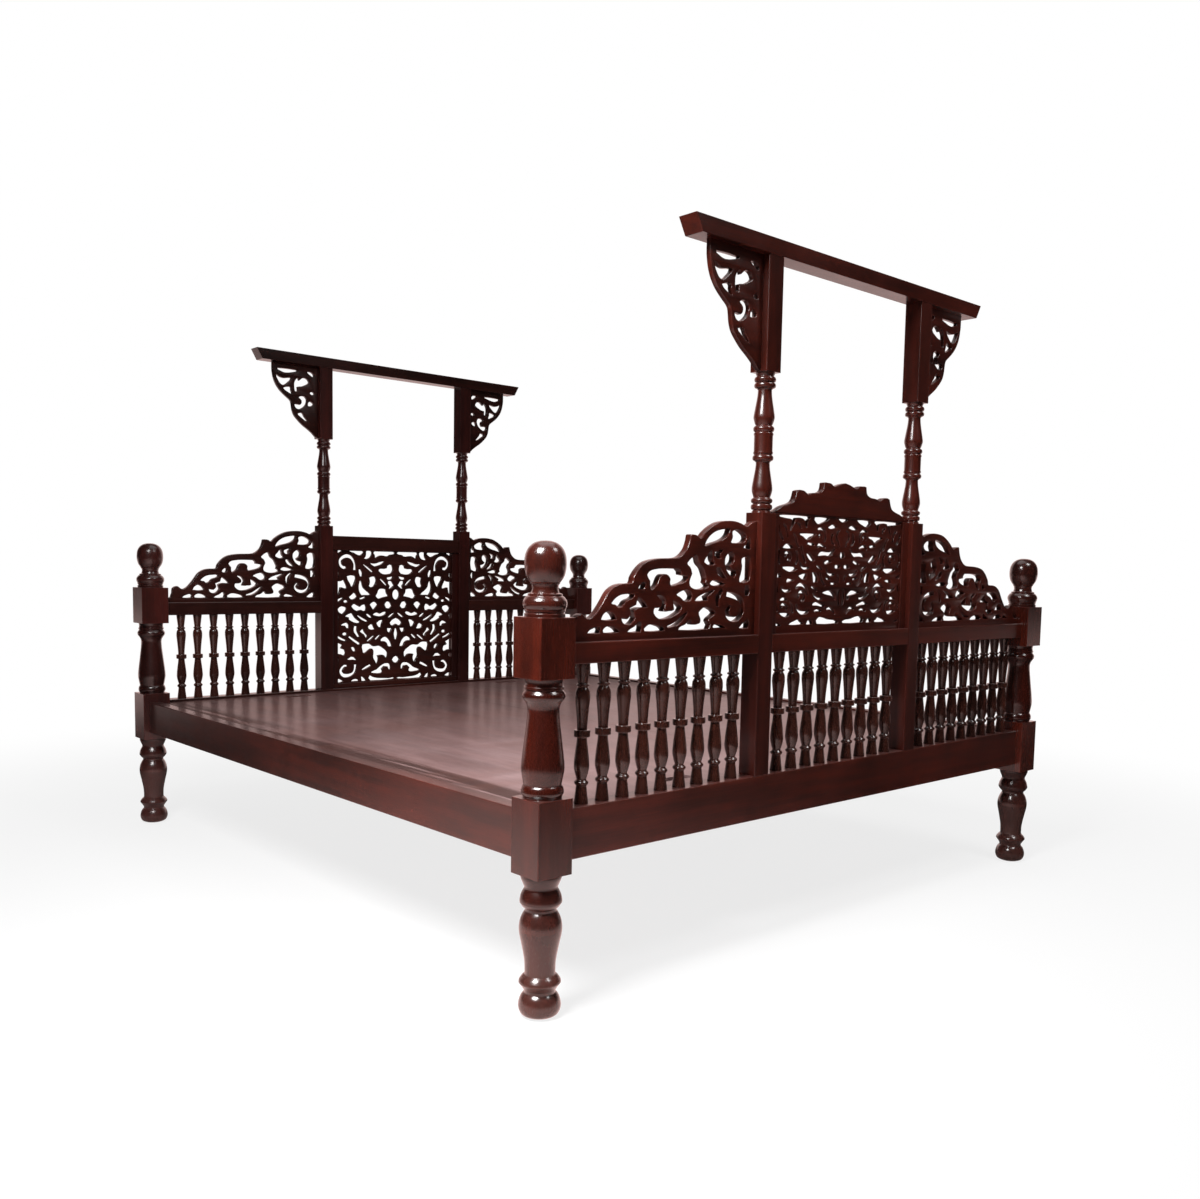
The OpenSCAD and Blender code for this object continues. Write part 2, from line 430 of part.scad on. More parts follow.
// Narrow slits between the vines of the same panel, which part its curls and leaves
crest_slits = [
  [[-240, 193, 4], [-245, 182, 6], [-244, 170, 6], [-238, 160, 4]],
  [[-181, 192, 4], [-173, 181, 7], [-174, 168, 6], [-180, 160, 4]],
  [[-222, 176, 4], [-217, 185, 6], [-206, 186, 6], [-199, 178, 6], [-203, 169, 5], [-211, 170, 4]],
  [[-243, 68, 4], [-247, 59, 6], [-242, 50, 4]],
  [[-199, 73, 4], [-189, 64, 6], [-186, 52, 6], [-190, 42, 4]],
  [[-230, 59, 4], [-225, 66, 5], [-214, 66, 6], [-206, 59, 5], [-211, 53, 4]],
  [[-178, 103, 4], [-163, 112, 7], [-146, 110, 8], [-134, 99, 7], [-131, 86, 5]],
  [[-174, 66, 4], [-165, 53, 7], [-150, 46, 8], [-134, 47, 6], [-124, 55, 4]],
  [[-167, 80, 4], [-163, 92, 6], [-152, 96, 7], [-143, 88, 7], [-146, 77, 6], [-155, 74, 4]],
  [[-100, 243, 4], [-86, 246, 6], [-73, 239, 7], [-68, 226, 6], [-74, 215, 4]],
  [[-97, 224, 4], [-92, 231, 5], [-84, 230, 5], [-82, 222, 4]],
  [[-40, 236, 4], [-45, 225, 7], [-41, 213, 6], [-33, 208, 4]],
  [[-13, 245, 4], [-23, 237, 6], [-25, 226, 7], [-17, 214, 5], [-12, 204, 4]],
  [[-244, 250, 4], [-243, 236, 6], [-235, 222, 6], [-227, 215, 4]],
  [[-228, 252, 4], [-219, 243, 6], [-214, 232, 5], [-212, 221, 4]],
  [[-191, 230, 4], [-182, 221, 6], [-177, 209, 6], [-169, 199, 4]],
  [[-178, 256, 4], [-168, 251, 6], [-163, 243, 4]],
  [[-161, 204, 4], [-157, 191, 6], [-152, 178, 6], [-143, 165, 4]],
  [[-166, 165, 4], [-155, 154, 6], [-141, 150, 5], [-128, 153, 4]],
  [[-101, 200, 4], [-93, 208, 6], [-80, 206, 6], [-68, 201, 4]],
  [[-100, 158, 4], [-88, 153, 6], [-77, 146, 4]],
  [[-85, 140, 4], [-81, 128, 6], [-73, 117, 6], [-63, 110, 4]],
  [[-63, 150, 4], [-55, 141, 6], [-43, 136, 6], [-30, 138, 4]],
  [[-63, 130, 4], [-54, 125, 5], [-46, 127, 4]], [[-20, 137, 4], [-12, 129, 5], [-10, 119, 4]],
  [[-118, 108, 4], [-106, 104, 6], [-96, 96, 4]],
  [[-112, 92, 4], [-98, 83, 6], [-84, 78, 5], [-74, 80, 4]],
  [[-56, 52, 4], [-43, 56, 6], [-32, 51, 6], [-22, 42, 4]],
  [[-104, 48, 4], [-90, 52, 5], [-77, 48, 4]],
  [[-8, 100, 4], [-11, 86, 6], [-9, 72, 5], [-6, 62, 4]],
  [[-230, 108, 4], [-221, 100, 6], [-208, 97, 6], [-196, 101, 4]],
  [[-247, 118, 4], [-244, 106, 5], [-244, 95, 4]]];
crest_mid = [ring([[-13, 271], [13, 271], [0, 264]]),
  brush([[0, 191, 4], [0, 184, 6], [0, 177, 4]])];
crest_edge = [[-255, 10], [-238, 18], [-215, 24], [-200, 30], [-192, 40], [-187, 55], [-172, 58],
  [-158, 56], [-146, 49], [-131, 53], [-108, 55], [-93, 60], [-87, 68], [-85, 80], [-72, 81],
  [-58, 80], [-46, 74], [-34, 76], [-17, 81], [0, 84]];

// Openings of a bracket: x from the upright's side, z down from the beam
bracket_cut = [
  [[-149, -21], [-82, -20], [-97, -28], [-121, -33], [-137, -30]],
  [[-155, -43], [-142, -50], [-128, -53], [-105, -49], [-114, -63], [-131, -77], [-143, -70],
    [-150, -58]],
  [[-128, -87], [-107, -80], [-105, -90], [-102, -104], [-114, -99]],
  [[-77, -47], [-72, -50], [-70, -55], [-59, -45], [-46, -45], [-37, -57], [-49, -67],
    [-63, -74], [-76, -77], [-75, -89], [-82, -94], [-86, -86], [-86, -63]],
  [[-72, -113], [-63, -108], [-52, -109], [-46, -120], [-50, -136], [-61, -148], [-73, -154],
    [-82, -150], [-86, -140], [-77, -138], [-68, -139], [-63, -131], [-63, -123], [-67, -118]],
  [[-74, -171], [-60, -166], [-54, -177], [-42, -195], [-55, -189], [-68, -178]],
  [[-38, -22], [-26, -21], [-19, -28], [-20, -36], [-26, -34]],
  [[-33, -127], [-28, -124], [-20, -130], [-26, -138], [-35, -139]]];
bracket_edge = [[-171, -30], [-167, -53], [-158, -76], [-142, -97], [-123, -113], [-106, -126],
  [-101, -137], [-98, -157], [-91, -176], [-77, -192], [-59, -208], [-38, -222], [-22, -234],
  [-13, -243], [-7, -248], [0, -250]];

scroll_holes = concat([for (p = scroll_cut) eased(ring(p, cut_tol), scroll_ease)],
  [for (p = scroll_strokes) eased(brush(p, cut_tol), scroll_ease)]);
lattice_holes = concat(both(concat([for (p = lattice_cut)
  eased(ring(p, 2 * cut_tol), lattice_ease, 250)],
  [for (p = lattice_strokes) eased(brush(p, cut_tol), lattice_ease, 250)],
  [eased(dot(-213, 325, 4.5), lattice_ease), eased(dot(-217, 204, 5.5), lattice_ease)])),
  [for (p = lattice_mid) eased(p, lattice_ease)]);
crest_holes = concat(both(concat([for (p = crest_cut) eased(ring(p, cut_tol), crest_ease, 250)],
  [for (p = crest_strokes) eased(brush(p, cut_tol), crest_ease, 250)],
  [for (p = crest_slits) brush(p, cut_tol)],
  [eased(dot(-18, 156, 5), crest_ease)])), [for (p = crest_mid) eased(p, crest_ease)]);
bracket_holes = concat([for (p = bracket_cut) eased(ring(p, cut_tol), bracket_ease)],
  [eased(dot(-22, -94, 5), bracket_ease)]);

// Fits of the drawn panels to their places
bay_s = bay_w / 553;
mid_s = (half - stile_w) / 250.5;
lattice_s = (top_rail_z - rail_z1 + 5) / 514;
scroll_s = scroll_h / 254;
crest_s = crest_panel_h / 274;
bracket_sx = bracket_w / 171;
bracket_sz = bracket_h / 250;

// Corner post, standing on X = 0, Y = 0, with its rails towards +X and +Y
module post_blank() {
  k = turn_r / 42;
  rotate_extrude() polygon(turned(foot_pts, 0, foot_h, 281, k, a = 0));
  stick(post_w, foot_h, low_z1);
  rotate_extrude() polygon(turned(vase_pts, low_z1, up_z0, 230, k));
  stick(post_w, up_z0, up_z1);
  rotate_extrude() polygon(turned(finial_pts, up_z1, post_h, 144, k, b = 0));
}
module post() {
  g = fit_gap;
  difference() {
    post_blank();
    // mortises for the bottom rail and the middle rail
    box(hp - tenon_l - g, hp + 1, -tenon_t / 2 - g, tenon_t / 2 + g, rail_z0 + 15 - g,
      rail_z1 - 15 + g);
    box(hp - tenon_l - g, hp + 1, -tenon_t / 2 - g, tenon_t / 2 + g, mid_z0 + 6 - g,
      mid_z1 - 8 + g);
    // groove for the end of the scroll panel
    box(hp - groove - g, hp + 1, -scroll_t / 2 - g, scroll_t / 2 + g, mid_z1 - groove - g,
      mid_z1 + 16 + g);
    // recess for the steel plate and pocket for its hooks
    translate([side_xm + hx, 0, 0]) {
      box(-plate_w / 2 - g, plate_w / 2 + g, hp - plate_t - g, hp + 1, plate_z - plate_h / 2 - g,
        plate_z + plate_h / 2 + g);
      box(-hook_t / 2 - 1, hook_t / 2 + 1, hp - plate_t - 9, hp - plate_t,
        plate_z - plate_h / 2 + 6, plate_z + plate_h / 2 - 6);
    }
  }
}
// sx and sy point from the post towards the middle of the bed
module post_at(sx, sy) {
  color(dark) translate([-sx * hx, -sy * hy, 0]) mirror([sx < 0 ? 1 : 0, 0, 0])
    mirror([0, sy < 0 ? 1 : 0, 0]) post();
}

// Rail with a tenon at each end, from x0 to x1, centred on Y = 0
module rail(x0, x1, z0, z1, d, t0, t1, s0, s1) {
  c = arris;
  h = d / 2;
  translate([x0, 0, 0]) rotate([90, 0, 90]) linear_extrude(x1 - x0)
    polygon([[-h + c, z0], [h - c, z0], [h, z0 + c], [h, z1 - c], [h - c, z1],
      [-h + c, z1], [-h, z1 - c], [-h, z0 + c]]);
  box(x0 - t0, x0 + eps, -tenon_t / 2, tenon_t / 2, z0 + s0, z1 - s1);
  box(x1 - eps, x1 + t1, -tenon_t / 2, tenon_t / 2, z0 + s0, z1 - s1);
}
function pitch(w) = w / (spindle_n + 1);
module sockets(x0, w, z) {
  for (i = [1 : spindle_n]) translate([x0 + i * pitch(w), 0, z]) children();
}
module peg_holes(x0, w, z0, z1) {
  sockets(x0, w, z0) cylinder(d = peg_d + 2 * fit_gap, h = z1 - z0);
}
module bottom_rail(lattice) {
  difference() {
    rail(bay_x0, -bay_x0, rail_z0, rail_z1, rail_d, tenon_l, tenon_l, 15, 15);
    peg_holes(bay_x0, bay_w, rail_z1 - peg_l - 1, rail_z1 + 1);
    peg_holes(-bay_x1, bay_w, rail_z1 - peg_l - 1, rail_z1 + 1);
    if (!lattice) peg_holes(-half, centre_w, rail_z1 - peg_l - 1, rail_z1 + 1);
    for (s = [-1, 1]) translate([s * up_x, 0, 0]) box(-12 - fit_gap, 12 + fit_gap,
      -12 - fit_gap, 12 + fit_gap, rail_z1 - tenon_l - 1, rail_z1 + 1);
  }
}
module mid_rail(x0, w, tl, t) {
  difference() {
    rail(x0, x0 + w, mid_z0, mid_z1, rail_d, tl, tenon_l - 8, 6, 8);
    peg_holes(x0, w, mid_z0 - 1, mid_z0 + peg_l + 1);
    box(x0 - 1, x0 + w + 1, -t / 2 - fit_gap, t / 2 + fit_gap, mid_z1 - groove - fit_gap,
      mid_z1 + 1);
  }
}

module centre_mid_rail() {
  h = half - stile_w + groove + fit_gap;
  difference() {
    rail(-half, half, mid_z0, mid_z1, rail_d, tenon_l - 8, tenon_l - 8, 6, 8);
    peg_holes(-half, centre_w, mid_z0 - 1, mid_z0 + peg_l + 1);
    box(-h, h, -jali_out - jali_t / 2 - fit_gap, -jali_out + jali_t / 2 + fit_gap,
      mid_z1 - groove - fit_gap, mid_z1 + 1);
  }
}

// Upright on X = 0, with the outer bay towards -X. The centre is plain rail or openwork.
module upright(lattice) {
  g = fit_gap;
  tl = tenon_l - 8;
  difference() {
    union() {
      stick(upright_w, rail_z1, turn_z0);
      rotate_extrude() polygon(turned(upright_pts, turn_z0, turn_z1, 310, upright_w / 49));
      stick(upright_w, turn_z1, beam_z0);
      box(-12, 12, -12, 12, rail_z1 - tenon_l, rail_z1 + eps);
      box(-12, 12, -12, 12, beam_z0 - eps, beam_z0 + head_tenon_h);
    }
    box(-uw - 1, -uw + tl + g, -tenon_t / 2 - g, tenon_t / 2 + g, mid_z0 + 6 - g,
      mid_z1 - 8 + g);
    box(-uw - 1, -uw + groove + g, -scroll_t / 2 - g, scroll_t / 2 + g, mid_z1 - groove - g,
      mid_z1 + scroll_h + g);
    box(-uw - 1, -uw + groove + g, -bracket_t / 2 - g, bracket_t / 2 + g,
      beam_z0 - bracket_h + 12 - g, beam_z0 + 1);
    if (lattice) box(uw - tl - g, uw + 1, -tenon_t / 2 - g, tenon_t / 2 + g,
      top_rail_z + 8 - g, top_rail_z + top_rail_h - 8 + g);
    else box(uw - tl - g, uw + 1, -tenon_t / 2 - g, tenon_t / 2 + g, mid_z0 + 6 - g,
      mid_z1 - 8 + g);
  }
}
module upright_at(side, s, lattice) {
  color(dark) translate([-s * up_x, side * hy, 0]) mirror([s < 0 ? 1 : 0, 0, 0]) upright(lattice);
}

module spindle() {
  z0 = rail_z1;
  z1 = mid_z0;
  k = collar_d / 30;
  rotate_extrude() polygon(concat([[0, z0 - peg_l], [peg_d / 2, z0 - peg_l], [peg_d / 2, z0]],
    [for (q = spindle_pts) [q[0] * k, z0 + q[1] * (z1 - z0) / 280]],
    [[peg_d / 2, z1], [peg_d / 2, z1 + peg_l], [0, z1 + peg_l]]));
}
module spindles(side, x0, w) {
  color(deep) translate([0, side * hy, 0]) sockets(x0, w, 0) spindle();
}

// Scroll panel of the left bay, with tongues into the post, the rail and the upright
module scroll_panel() {
  sx = bay_s;
  x0 = bay_x0 - 42.5 * sx;
  top = fitted(scroll_edge, x0, sx, mid_z1, scroll_s);
  n = len(scroll_edge) - 1;
  edge = concat([[bay_x0 - groove, mid_z1 - groove], [bay_x0 - groove, mid_z1 + 16],
    [bay_x0 + 18, mid_z1 + 16]],
    sweep([for (i = [0 : n - 1]) top[i]], cut_tol), [[bay_x1, top[n][1]],
    [bay_x1 + groove, top[n][1]], [bay_x1 + groove, mid_z1 - groove]]);
  slab(scroll_t) pierced(edge, [for (p = scroll_holes) fitted(p, x0, sx, mid_z1, scroll_s)]);
}
module scroll_at(side, s) {
  color(red) translate([0, side * hy, 0]) mirror([s < 0 ? 1 : 0, 0, 0]) scroll_panel();
}

module lattice_panel() {
  h = half - stile_w + groove;
  slab(jali_t, jali_out) pierced([[-h, sill_z1 - groove], [h, sill_z1 - groove],
    [h, top_rail_z + groove], [-h, top_rail_z + groove]],
    [for (p = lattice_holes) fitted(p, 0, mid_s, rail_z1 - 5 * lattice_s, lattice_s)]);
}
module crest_panel() {
  h = half - stile_w + groove;
  slab(jali_t, -jali_out) pierced([[-h, mid_z1 - groove], [h, mid_z1 - groove],
    [h, crest_z + groove], [-h, crest_z + groove]],
    [for (p = crest_holes) fitted(p, 0, mid_s, mid_z1, crest_s)]);
}
module crest_board_piece() {
  l = fitted(crest_edge, 0, half / 275.5, crest_z, crest_h / 84);
  e = concat([[-half, crest_z], [-half, crest_z + 2]], sweep(l, cut_tol));
  r = [for (i = [len(e) - 2 : -1 : 0]) [-e[i][0], e[i][1]]];
  h = half - stile_w + groove + fit_gap;
  difference() {
    slab(crest_t, -jali_out) polygon(concat(e, r));
    box(-h, h, -jali_out - jali_t / 2 - fit_gap, -jali_out + jali_t / 2 + fit_gap, crest_z - 1,
      crest_z + groove + fit_gap);
  }
}
// Stile beside the centre openwork on the left, from z0 to z1
module stile(z0, z1, y) {
  g = fit_gap;
  difference() {
    box(-half, -half + stile_w, -stile_t / 2, stile_t / 2, z0, z1);
    box(-half + stile_w - groove - g, -half + stile_w + 1, y - jali_t / 2 - g,
      y + jali_t / 2 + g, z0 - 1, z1 + 1);
  }
}
module stile_at(side, s) {
  color(dark) translate([0, side * hy, 0]) mirror([s < 0 ? 1 : 0, 0, 0])
    if (side < 0) stile(mid_z1, crest_z, -jali_out);
    else stile(sill_z1, top_rail_z, jali_out);
}
module sill() {
  difference() {
    box(-half, half, -stile_t / 2, stile_t / 2, rail_z1, sill_z1);
    box(-half + stile_w - groove - fit_gap, half - stile_w + groove + fit_gap,
      jali_out - jali_t / 2 - fit_gap, jali_out + jali_t / 2 + fit_gap,
      sill_z1 - groove - fit_gap, sill_z1 + 1);
  }
}
module top_rail() {
  difference() {
    rail(-half, half, top_rail_z, top_rail_z + top_rail_h, rail_d - 10, tenon_l - 8,
      tenon_l - 8, 8, 8);
    box(-half + stile_w - groove - fit_gap, half - stile_w + groove + fit_gap,
      jali_out - jali_t / 2 - fit_gap, jali_out + jali_t / 2 + fit_gap,
      top_rail_z - 1, top_rail_z + groove + fit_gap);
  }
}

// Head beam on its uprights, with mortises and a groove for each bracket
module beam() {
  h = beam_l / 2;
  g = fit_gap;
  difference() {
    slab(beam_w) polygon([[-h + beam_bevel, beam_z0], [h - beam_bevel, beam_z0], [h, beam_z1],
      [-h, beam_z1]]);
    for (s = [-1, 1]) mirror([s > 0 ? 1 : 0, 0, 0]) {
      box(-up_x - 12 - g, -up_x + 12 + g, -12 - g, 12 + g, beam_z0 - 1, beam_z0 + head_tenon_h + g);
      box(-up_x - uw - bracket_w - g, -up_x - uw + groove + g, -bracket_t / 2 - g,
        bracket_t / 2 + g, beam_z0 - 1, beam_z0 + groove + g);
    }
  }
}
module bracket() {
  x = -up_x - uw;
  l = fitted(bracket_edge, x, bracket_sx, beam_z0, bracket_sz);
  b = beam_z0 - bracket_h + 12;
  e = concat([[x + groove, beam_z0 + groove], [x - bracket_w, beam_z0 + groove],
    [x - bracket_w, beam_z0]], sweep(l, cut_tol), [[x, b], [x + groove, b]]);
  slab(bracket_t) pierced(e, [for (p = bracket_holes)
    fitted(p, x, bracket_sx, beam_z0, bracket_sz)]);
}
module bracket_at(side, s) {
  color(deep) translate([0, side * hy, 0]) mirror([s < 0 ? 1 : 0, 0, 0]) bracket();
}

// Side rail on the -X side, with a recess for the steel plate in each end
module side_rail() {
  c = arris;
  l = post_y;
  g = fit_gap;
  difference() {
    translate([0, l, 0]) rotate([90, 0, 0]) linear_extrude(2 * l)
      polygon([[side_x0 + c, rail_z0], [side_x1 - c, rail_z0], [side_x1, rail_z0 + c],
        [side_x1, side_z1 - c], [side_x1 - c, side_z1], [side_x0 + c, side_z1],
        [side_x0, side_z1 - c], [side_x0, rail_z0 + c]]);
    for (s = [-1, 1]) mirror([0, s < 0 ? 1 : 0, 0]) box(side_xm - plate_w / 2 - g,
      side_xm + plate_w / 2 + g, l - plate_t, l + 1, plate_z - plate_h / 2 - g,
      plate_z + plate_h / 2 + g);
  }
}
module ledger() {
  box(side_x1, side_x1 + ledger_t, -post_y + 4, post_y - 4, ledger_z0, bearer_z0);
}
// Plate on the rail's end with two hooks that drop behind the post's plate
module hook_plate() {
  y = post_y;
  b = y + plate_t + fit_gap;
  translate([side_xm, 0, 0]) {
    box(-plate_w / 2, plate_w / 2, y - plate_t, y, plate_z - plate_h / 2, plate_z + plate_h / 2);
    for (k = [-1, 1]) translate([-hook_t / 2, 0, plate_z + k * plate_h / 4]) rotate([90, 0, 90])
      linear_extrude(hook_t) polygon([[y - 1, hook_h / 2 - 3], [b + hook_t, hook_h / 2 - 3],
        [b + hook_t, -hook_h / 2 - 2], [b, -hook_h / 2 - 2], [b, -hook_h / 2 + 4 + fit_gap],
        [y - 1, -hook_h / 2 + 4 + fit_gap]]);
  }
}
module post_plate() {
  y = post_y + plate_t;
  difference() {
    translate([side_xm, 0, 0]) box(-plate_w / 2, plate_w / 2, post_y, y, plate_z - plate_h / 2,
      plate_z + plate_h / 2);
    for (k = [-1, 1]) translate([side_xm, 0, plate_z + k * plate_h / 4]) box(-hook_t / 2 - 0.5,
      hook_t / 2 + 0.5, post_y - 1, y + 1, -hook_h / 2 + 4, hook_h / 2 - 2);
  }
}
module four() {
  for (a = [0, 1]) for (b = [0, 1]) mirror([a, 0, 0]) mirror([0, b, 0]) children();
}

// Cross bearer under the deck, resting on both ledgers
module bearer(k) {
  y = (k - 2.5) * 2 * (deck_y - slot_in - slot_w / 2 - bearer_in) / 3;
  color(raw) box(side_x1 + 1, -side_x1 - 1, y - bearer_w / 2, y + bearer_w / 2, bearer_z0,
    deck_z0);
}
// Cleat that carries the ends of the deck boards, fixed inside an end's bottom rail
module cleat(side) {
  y = hy - rail_d / 2;
  color(raw) mirror([0, side < 0 ? 1 : 0, 0]) box(bay_x0 + 1, -bay_x0 - 1, y - ledger_t, y,
    deck_z0 - ledger_h, deck_z0);
}
// Left deck board, notched round the posts, with a hand slot near each end
module deck_board() {
  x0 = -deck_x;
  x1 = -deck_gap / 2;
  nx = -hx + hp + deck_gap;
  ny = hy - hp - deck_gap;
  cx = (x0 + x1) / 2;
  translate([0, 0, deck_z0]) linear_extrude(deck_t) difference() {
    polygon([[nx, -deck_y], [x1, -deck_y], [x1, deck_y], [nx, deck_y], [nx, ny], [x0, ny],
      [x0, -ny], [nx, -ny]]);
    for (s = [-1, 1]) translate([cx, s * (deck_y - slot_in)]) {
      for (k = [-1, 1]) translate([k * (slot_l - slot_w) / 2, 0]) circle(d = slot_w);
      square([slot_l - slot_w, slot_w], center = true);
    }
  }
}

post_at(1, 1);  // post_crest_left
post_at(-1, 1);  // post_crest_right
post_at(1, -1);  // post_lattice_left
post_at(-1, -1);  // post_lattice_right
color(dark) side_rail();  // side_rail_left
color(dark) mirror([1, 0, 0]) side_rail();  // side_rail_right
color(raw) ledger();  // ledger_left
color(raw) mirror([1, 0, 0]) ledger();  // ledger_right
cleat(-1);  // cleat_crest
cleat(1);  // cleat_lattice
bearer(1);  // bearer_1
bearer(2);  // bearer_2
bearer(3);  // bearer_3
bearer(4);  // bearer_4
color(board) deck_board();  // deck_left
color(board) mirror([1, 0, 0]) deck_board();  // deck_right
color(steel) four() hook_plate();  // rail_hooks
color(steel) four() post_plate();  // post_plates

color(dark) translate([0, -hy, 0])  // crest_bottom_rail
  bottom_rail(false);
color(dark) translate([0, -hy, 0])  // crest_mid_rail_left
  mid_rail(bay_x0, bay_w, tenon_l, scroll_t);
color(dark) translate([0, -hy, 0])  // crest_mid_rail_centre
  centre_mid_rail();
color(dark) translate([0, -hy, 0])  // crest_mid_rail_right
  mirror([1, 0, 0]) mid_rail(bay_x0, bay_w, tenon_l, scroll_t);
upright_at(-1, 1, false);  // crest_upright_left
upright_at(-1, -1, false);  // crest_upright_right
spindles(-1, bay_x0, bay_w);  // crest_spindles_left
spindles(-1, -half, centre_w);  // crest_spindles_centre
spindles(-1, -bay_x1, bay_w);  // crest_spindles_right
scroll_at(-1, 1);  // crest_scroll_left
scroll_at(-1, -1);  // crest_scroll_right
color(red) translate([0, -hy, 0]) crest_panel();  // crest_jali
stile_at(-1, 1);  // crest_stile_left
stile_at(-1, -1);  // crest_stile_right
color(red) translate([0, -hy, 0])  // crest_board
  crest_board_piece();
color(dark) translate([0, -hy, 0]) beam();  // crest_beam
bracket_at(-1, 1);  // crest_bracket_left
bracket_at(-1, -1);  // crest_bracket_right

color(dark) translate([0, hy, 0])  // lattice_bottom_rail
  bottom_rail(true);
color(dark) translate([0, hy, 0])  // lattice_mid_rail_left
  mid_rail(bay_x0, bay_w, tenon_l, scroll_t);
color(dark) translate([0, hy, 0])  // lattice_mid_rail_right
  mirror([1, 0, 0]) mid_rail(bay_x0, bay_w, tenon_l, scroll_t);
upright_at(1, 1, true);  // lattice_upright_left
upright_at(1, -1, true);  // lattice_upright_right
spindles(1, bay_x0, bay_w);  // lattice_spindles_left
spindles(1, -bay_x1, bay_w);  // lattice_spindles_right
scroll_at(1, 1);  // lattice_scroll_left
scroll_at(1, -1);  // lattice_scroll_right
color(red) translate([0, hy, 0]) lattice_panel();  // lattice_jali
stile_at(1, 1);  // lattice_stile_left
stile_at(1, -1);  // lattice_stile_right
color(dark) translate([0, hy, 0]) sill();  // lattice_sill
color(dark) translate([0, hy, 0]) top_rail();  // lattice_top_rail
color(dark) translate([0, hy, 0]) beam();  // lattice_beam
bracket_at(1, 1);  // lattice_bracket_left
bracket_at(1, -1);  // lattice_bracket_right
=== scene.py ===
"""A carved platform bed in dark varnished hardwood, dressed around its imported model.

The sections follow the bed as it is put together: the room it stands in, the four turned
corner posts, the rails and their hooks, the deck and what carries it, then the spindles,
uprights and beams, and last the pierced boards that fill the two ends.
"""
import math

import bpy
import bmesh
from mathutils import Matrix, Vector


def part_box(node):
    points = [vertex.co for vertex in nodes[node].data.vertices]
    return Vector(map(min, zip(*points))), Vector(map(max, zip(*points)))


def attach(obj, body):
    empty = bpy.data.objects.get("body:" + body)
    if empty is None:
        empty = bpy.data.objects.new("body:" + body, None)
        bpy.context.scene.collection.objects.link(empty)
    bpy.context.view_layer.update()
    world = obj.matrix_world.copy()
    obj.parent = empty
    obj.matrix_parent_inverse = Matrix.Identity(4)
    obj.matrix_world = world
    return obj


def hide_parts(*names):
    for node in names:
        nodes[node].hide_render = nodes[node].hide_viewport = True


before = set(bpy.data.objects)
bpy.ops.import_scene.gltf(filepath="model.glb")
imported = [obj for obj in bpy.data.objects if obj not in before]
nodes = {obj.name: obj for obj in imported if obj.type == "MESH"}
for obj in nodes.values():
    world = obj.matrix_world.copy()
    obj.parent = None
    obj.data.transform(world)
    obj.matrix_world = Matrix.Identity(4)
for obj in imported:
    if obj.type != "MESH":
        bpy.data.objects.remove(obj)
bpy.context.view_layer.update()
scene = bpy.context.scene


# ---------------------------------------------------------------------------------------
# The room: the photograph's viewpoint, a pale floor that runs into a white backdrop behind
# the bed, a dim room behind the camera, and soft lamps at the left, in front and overhead.
# ---------------------------------------------------------------------------------------
EYE = Vector((-2.2250, -2.6564, 0.8743))
YAW, PITCH, ROLL = (math.radians(angle) for angle in (42.325, -4.843, 1.097))
# the photograph's size, focal length and optical centre in pixels, and the film's width in mm
PHOTO_WIDE, PHOTO_HIGH = 1200, 1199
PHOTO_FOCAL = 1099.97
PHOTO_CENTRE = (612.84, 659.33)
FILM_WIDE = 36

look = Vector((math.sin(YAW) * math.cos(PITCH), math.cos(YAW) * math.cos(PITCH), math.sin(PITCH)))
level = Vector((math.cos(YAW), -math.sin(YAW), 0))
rise = level.cross(look)
side = level * math.cos(ROLL) + rise * math.sin(ROLL)
top = rise * math.cos(ROLL) - level * math.sin(ROLL)
lens = bpy.data.cameras.new("camera")
lens.sensor_width = FILM_WIDE
lens.lens = PHOTO_FOCAL * FILM_WIDE / PHOTO_WIDE
lens.shift_x = -(PHOTO_CENTRE[0] - PHOTO_WIDE / 2) / PHOTO_WIDE
lens.shift_y = (PHOTO_CENTRE[1] - PHOTO_HIGH / 2) / PHOTO_WIDE
lens.clip_start = 0.05
lens.clip_end = 200
camera = bpy.data.objects.new("camera", lens)
scene.collection.objects.link(camera)
camera.matrix_world = Matrix.Translation(EYE) @ Matrix((side, top, -look)).transposed().to_4x4()
scene.camera = camera
scene.view_settings.view_transform = "Standard"


def add(tree, kind, feeds=(), **settings):
    """A shader node with its settings, and its inputs given as plain values or as sockets."""
    made = tree.nodes.new("ShaderNode" + kind)
    for key, value in settings.items():
        setattr(made, key, value)
    for key, value in dict(feeds).items():
        if isinstance(value, bpy.types.NodeSocket):
            tree.links.new(value, made.inputs[key])
        else:
            made.inputs[key].default_value = value
    return made


def calc(tree, operation, *values):
    """The result of one sum on values or sockets."""
    return add(tree, "Math", dict(enumerate(values)), operation=operation).outputs[0]


def step(tree, value, low, high, to_low=0.0, to_high=1.0):
    """A smooth step of a value between two limits."""
    return add(tree, "MapRange", {"Value": value, "From Min": low, "From Max": high,
                                  "To Min": to_low, "To Max": to_high},
               interpolation_type="SMOOTHSTEP").outputs[0]


def lamp(name, place, aim, size, power, spread=180):
    """A flat soft lamp at a place, turned to its aim."""
    data = bpy.data.lights.new(name, "AREA")
    data.shape = "RECTANGLE"
    data.size, data.size_y = size
    data.energy = power
    data.spread = math.radians(spread)
    obj = bpy.data.objects.new(name, data)
    scene.collection.objects.link(obj)
    place = Vector(place)
    obj.matrix_world = Matrix.Translation(place) @ (
        (Vector(aim) - place).to_track_quat("-Z", "Y").to_matrix().to_4x4())


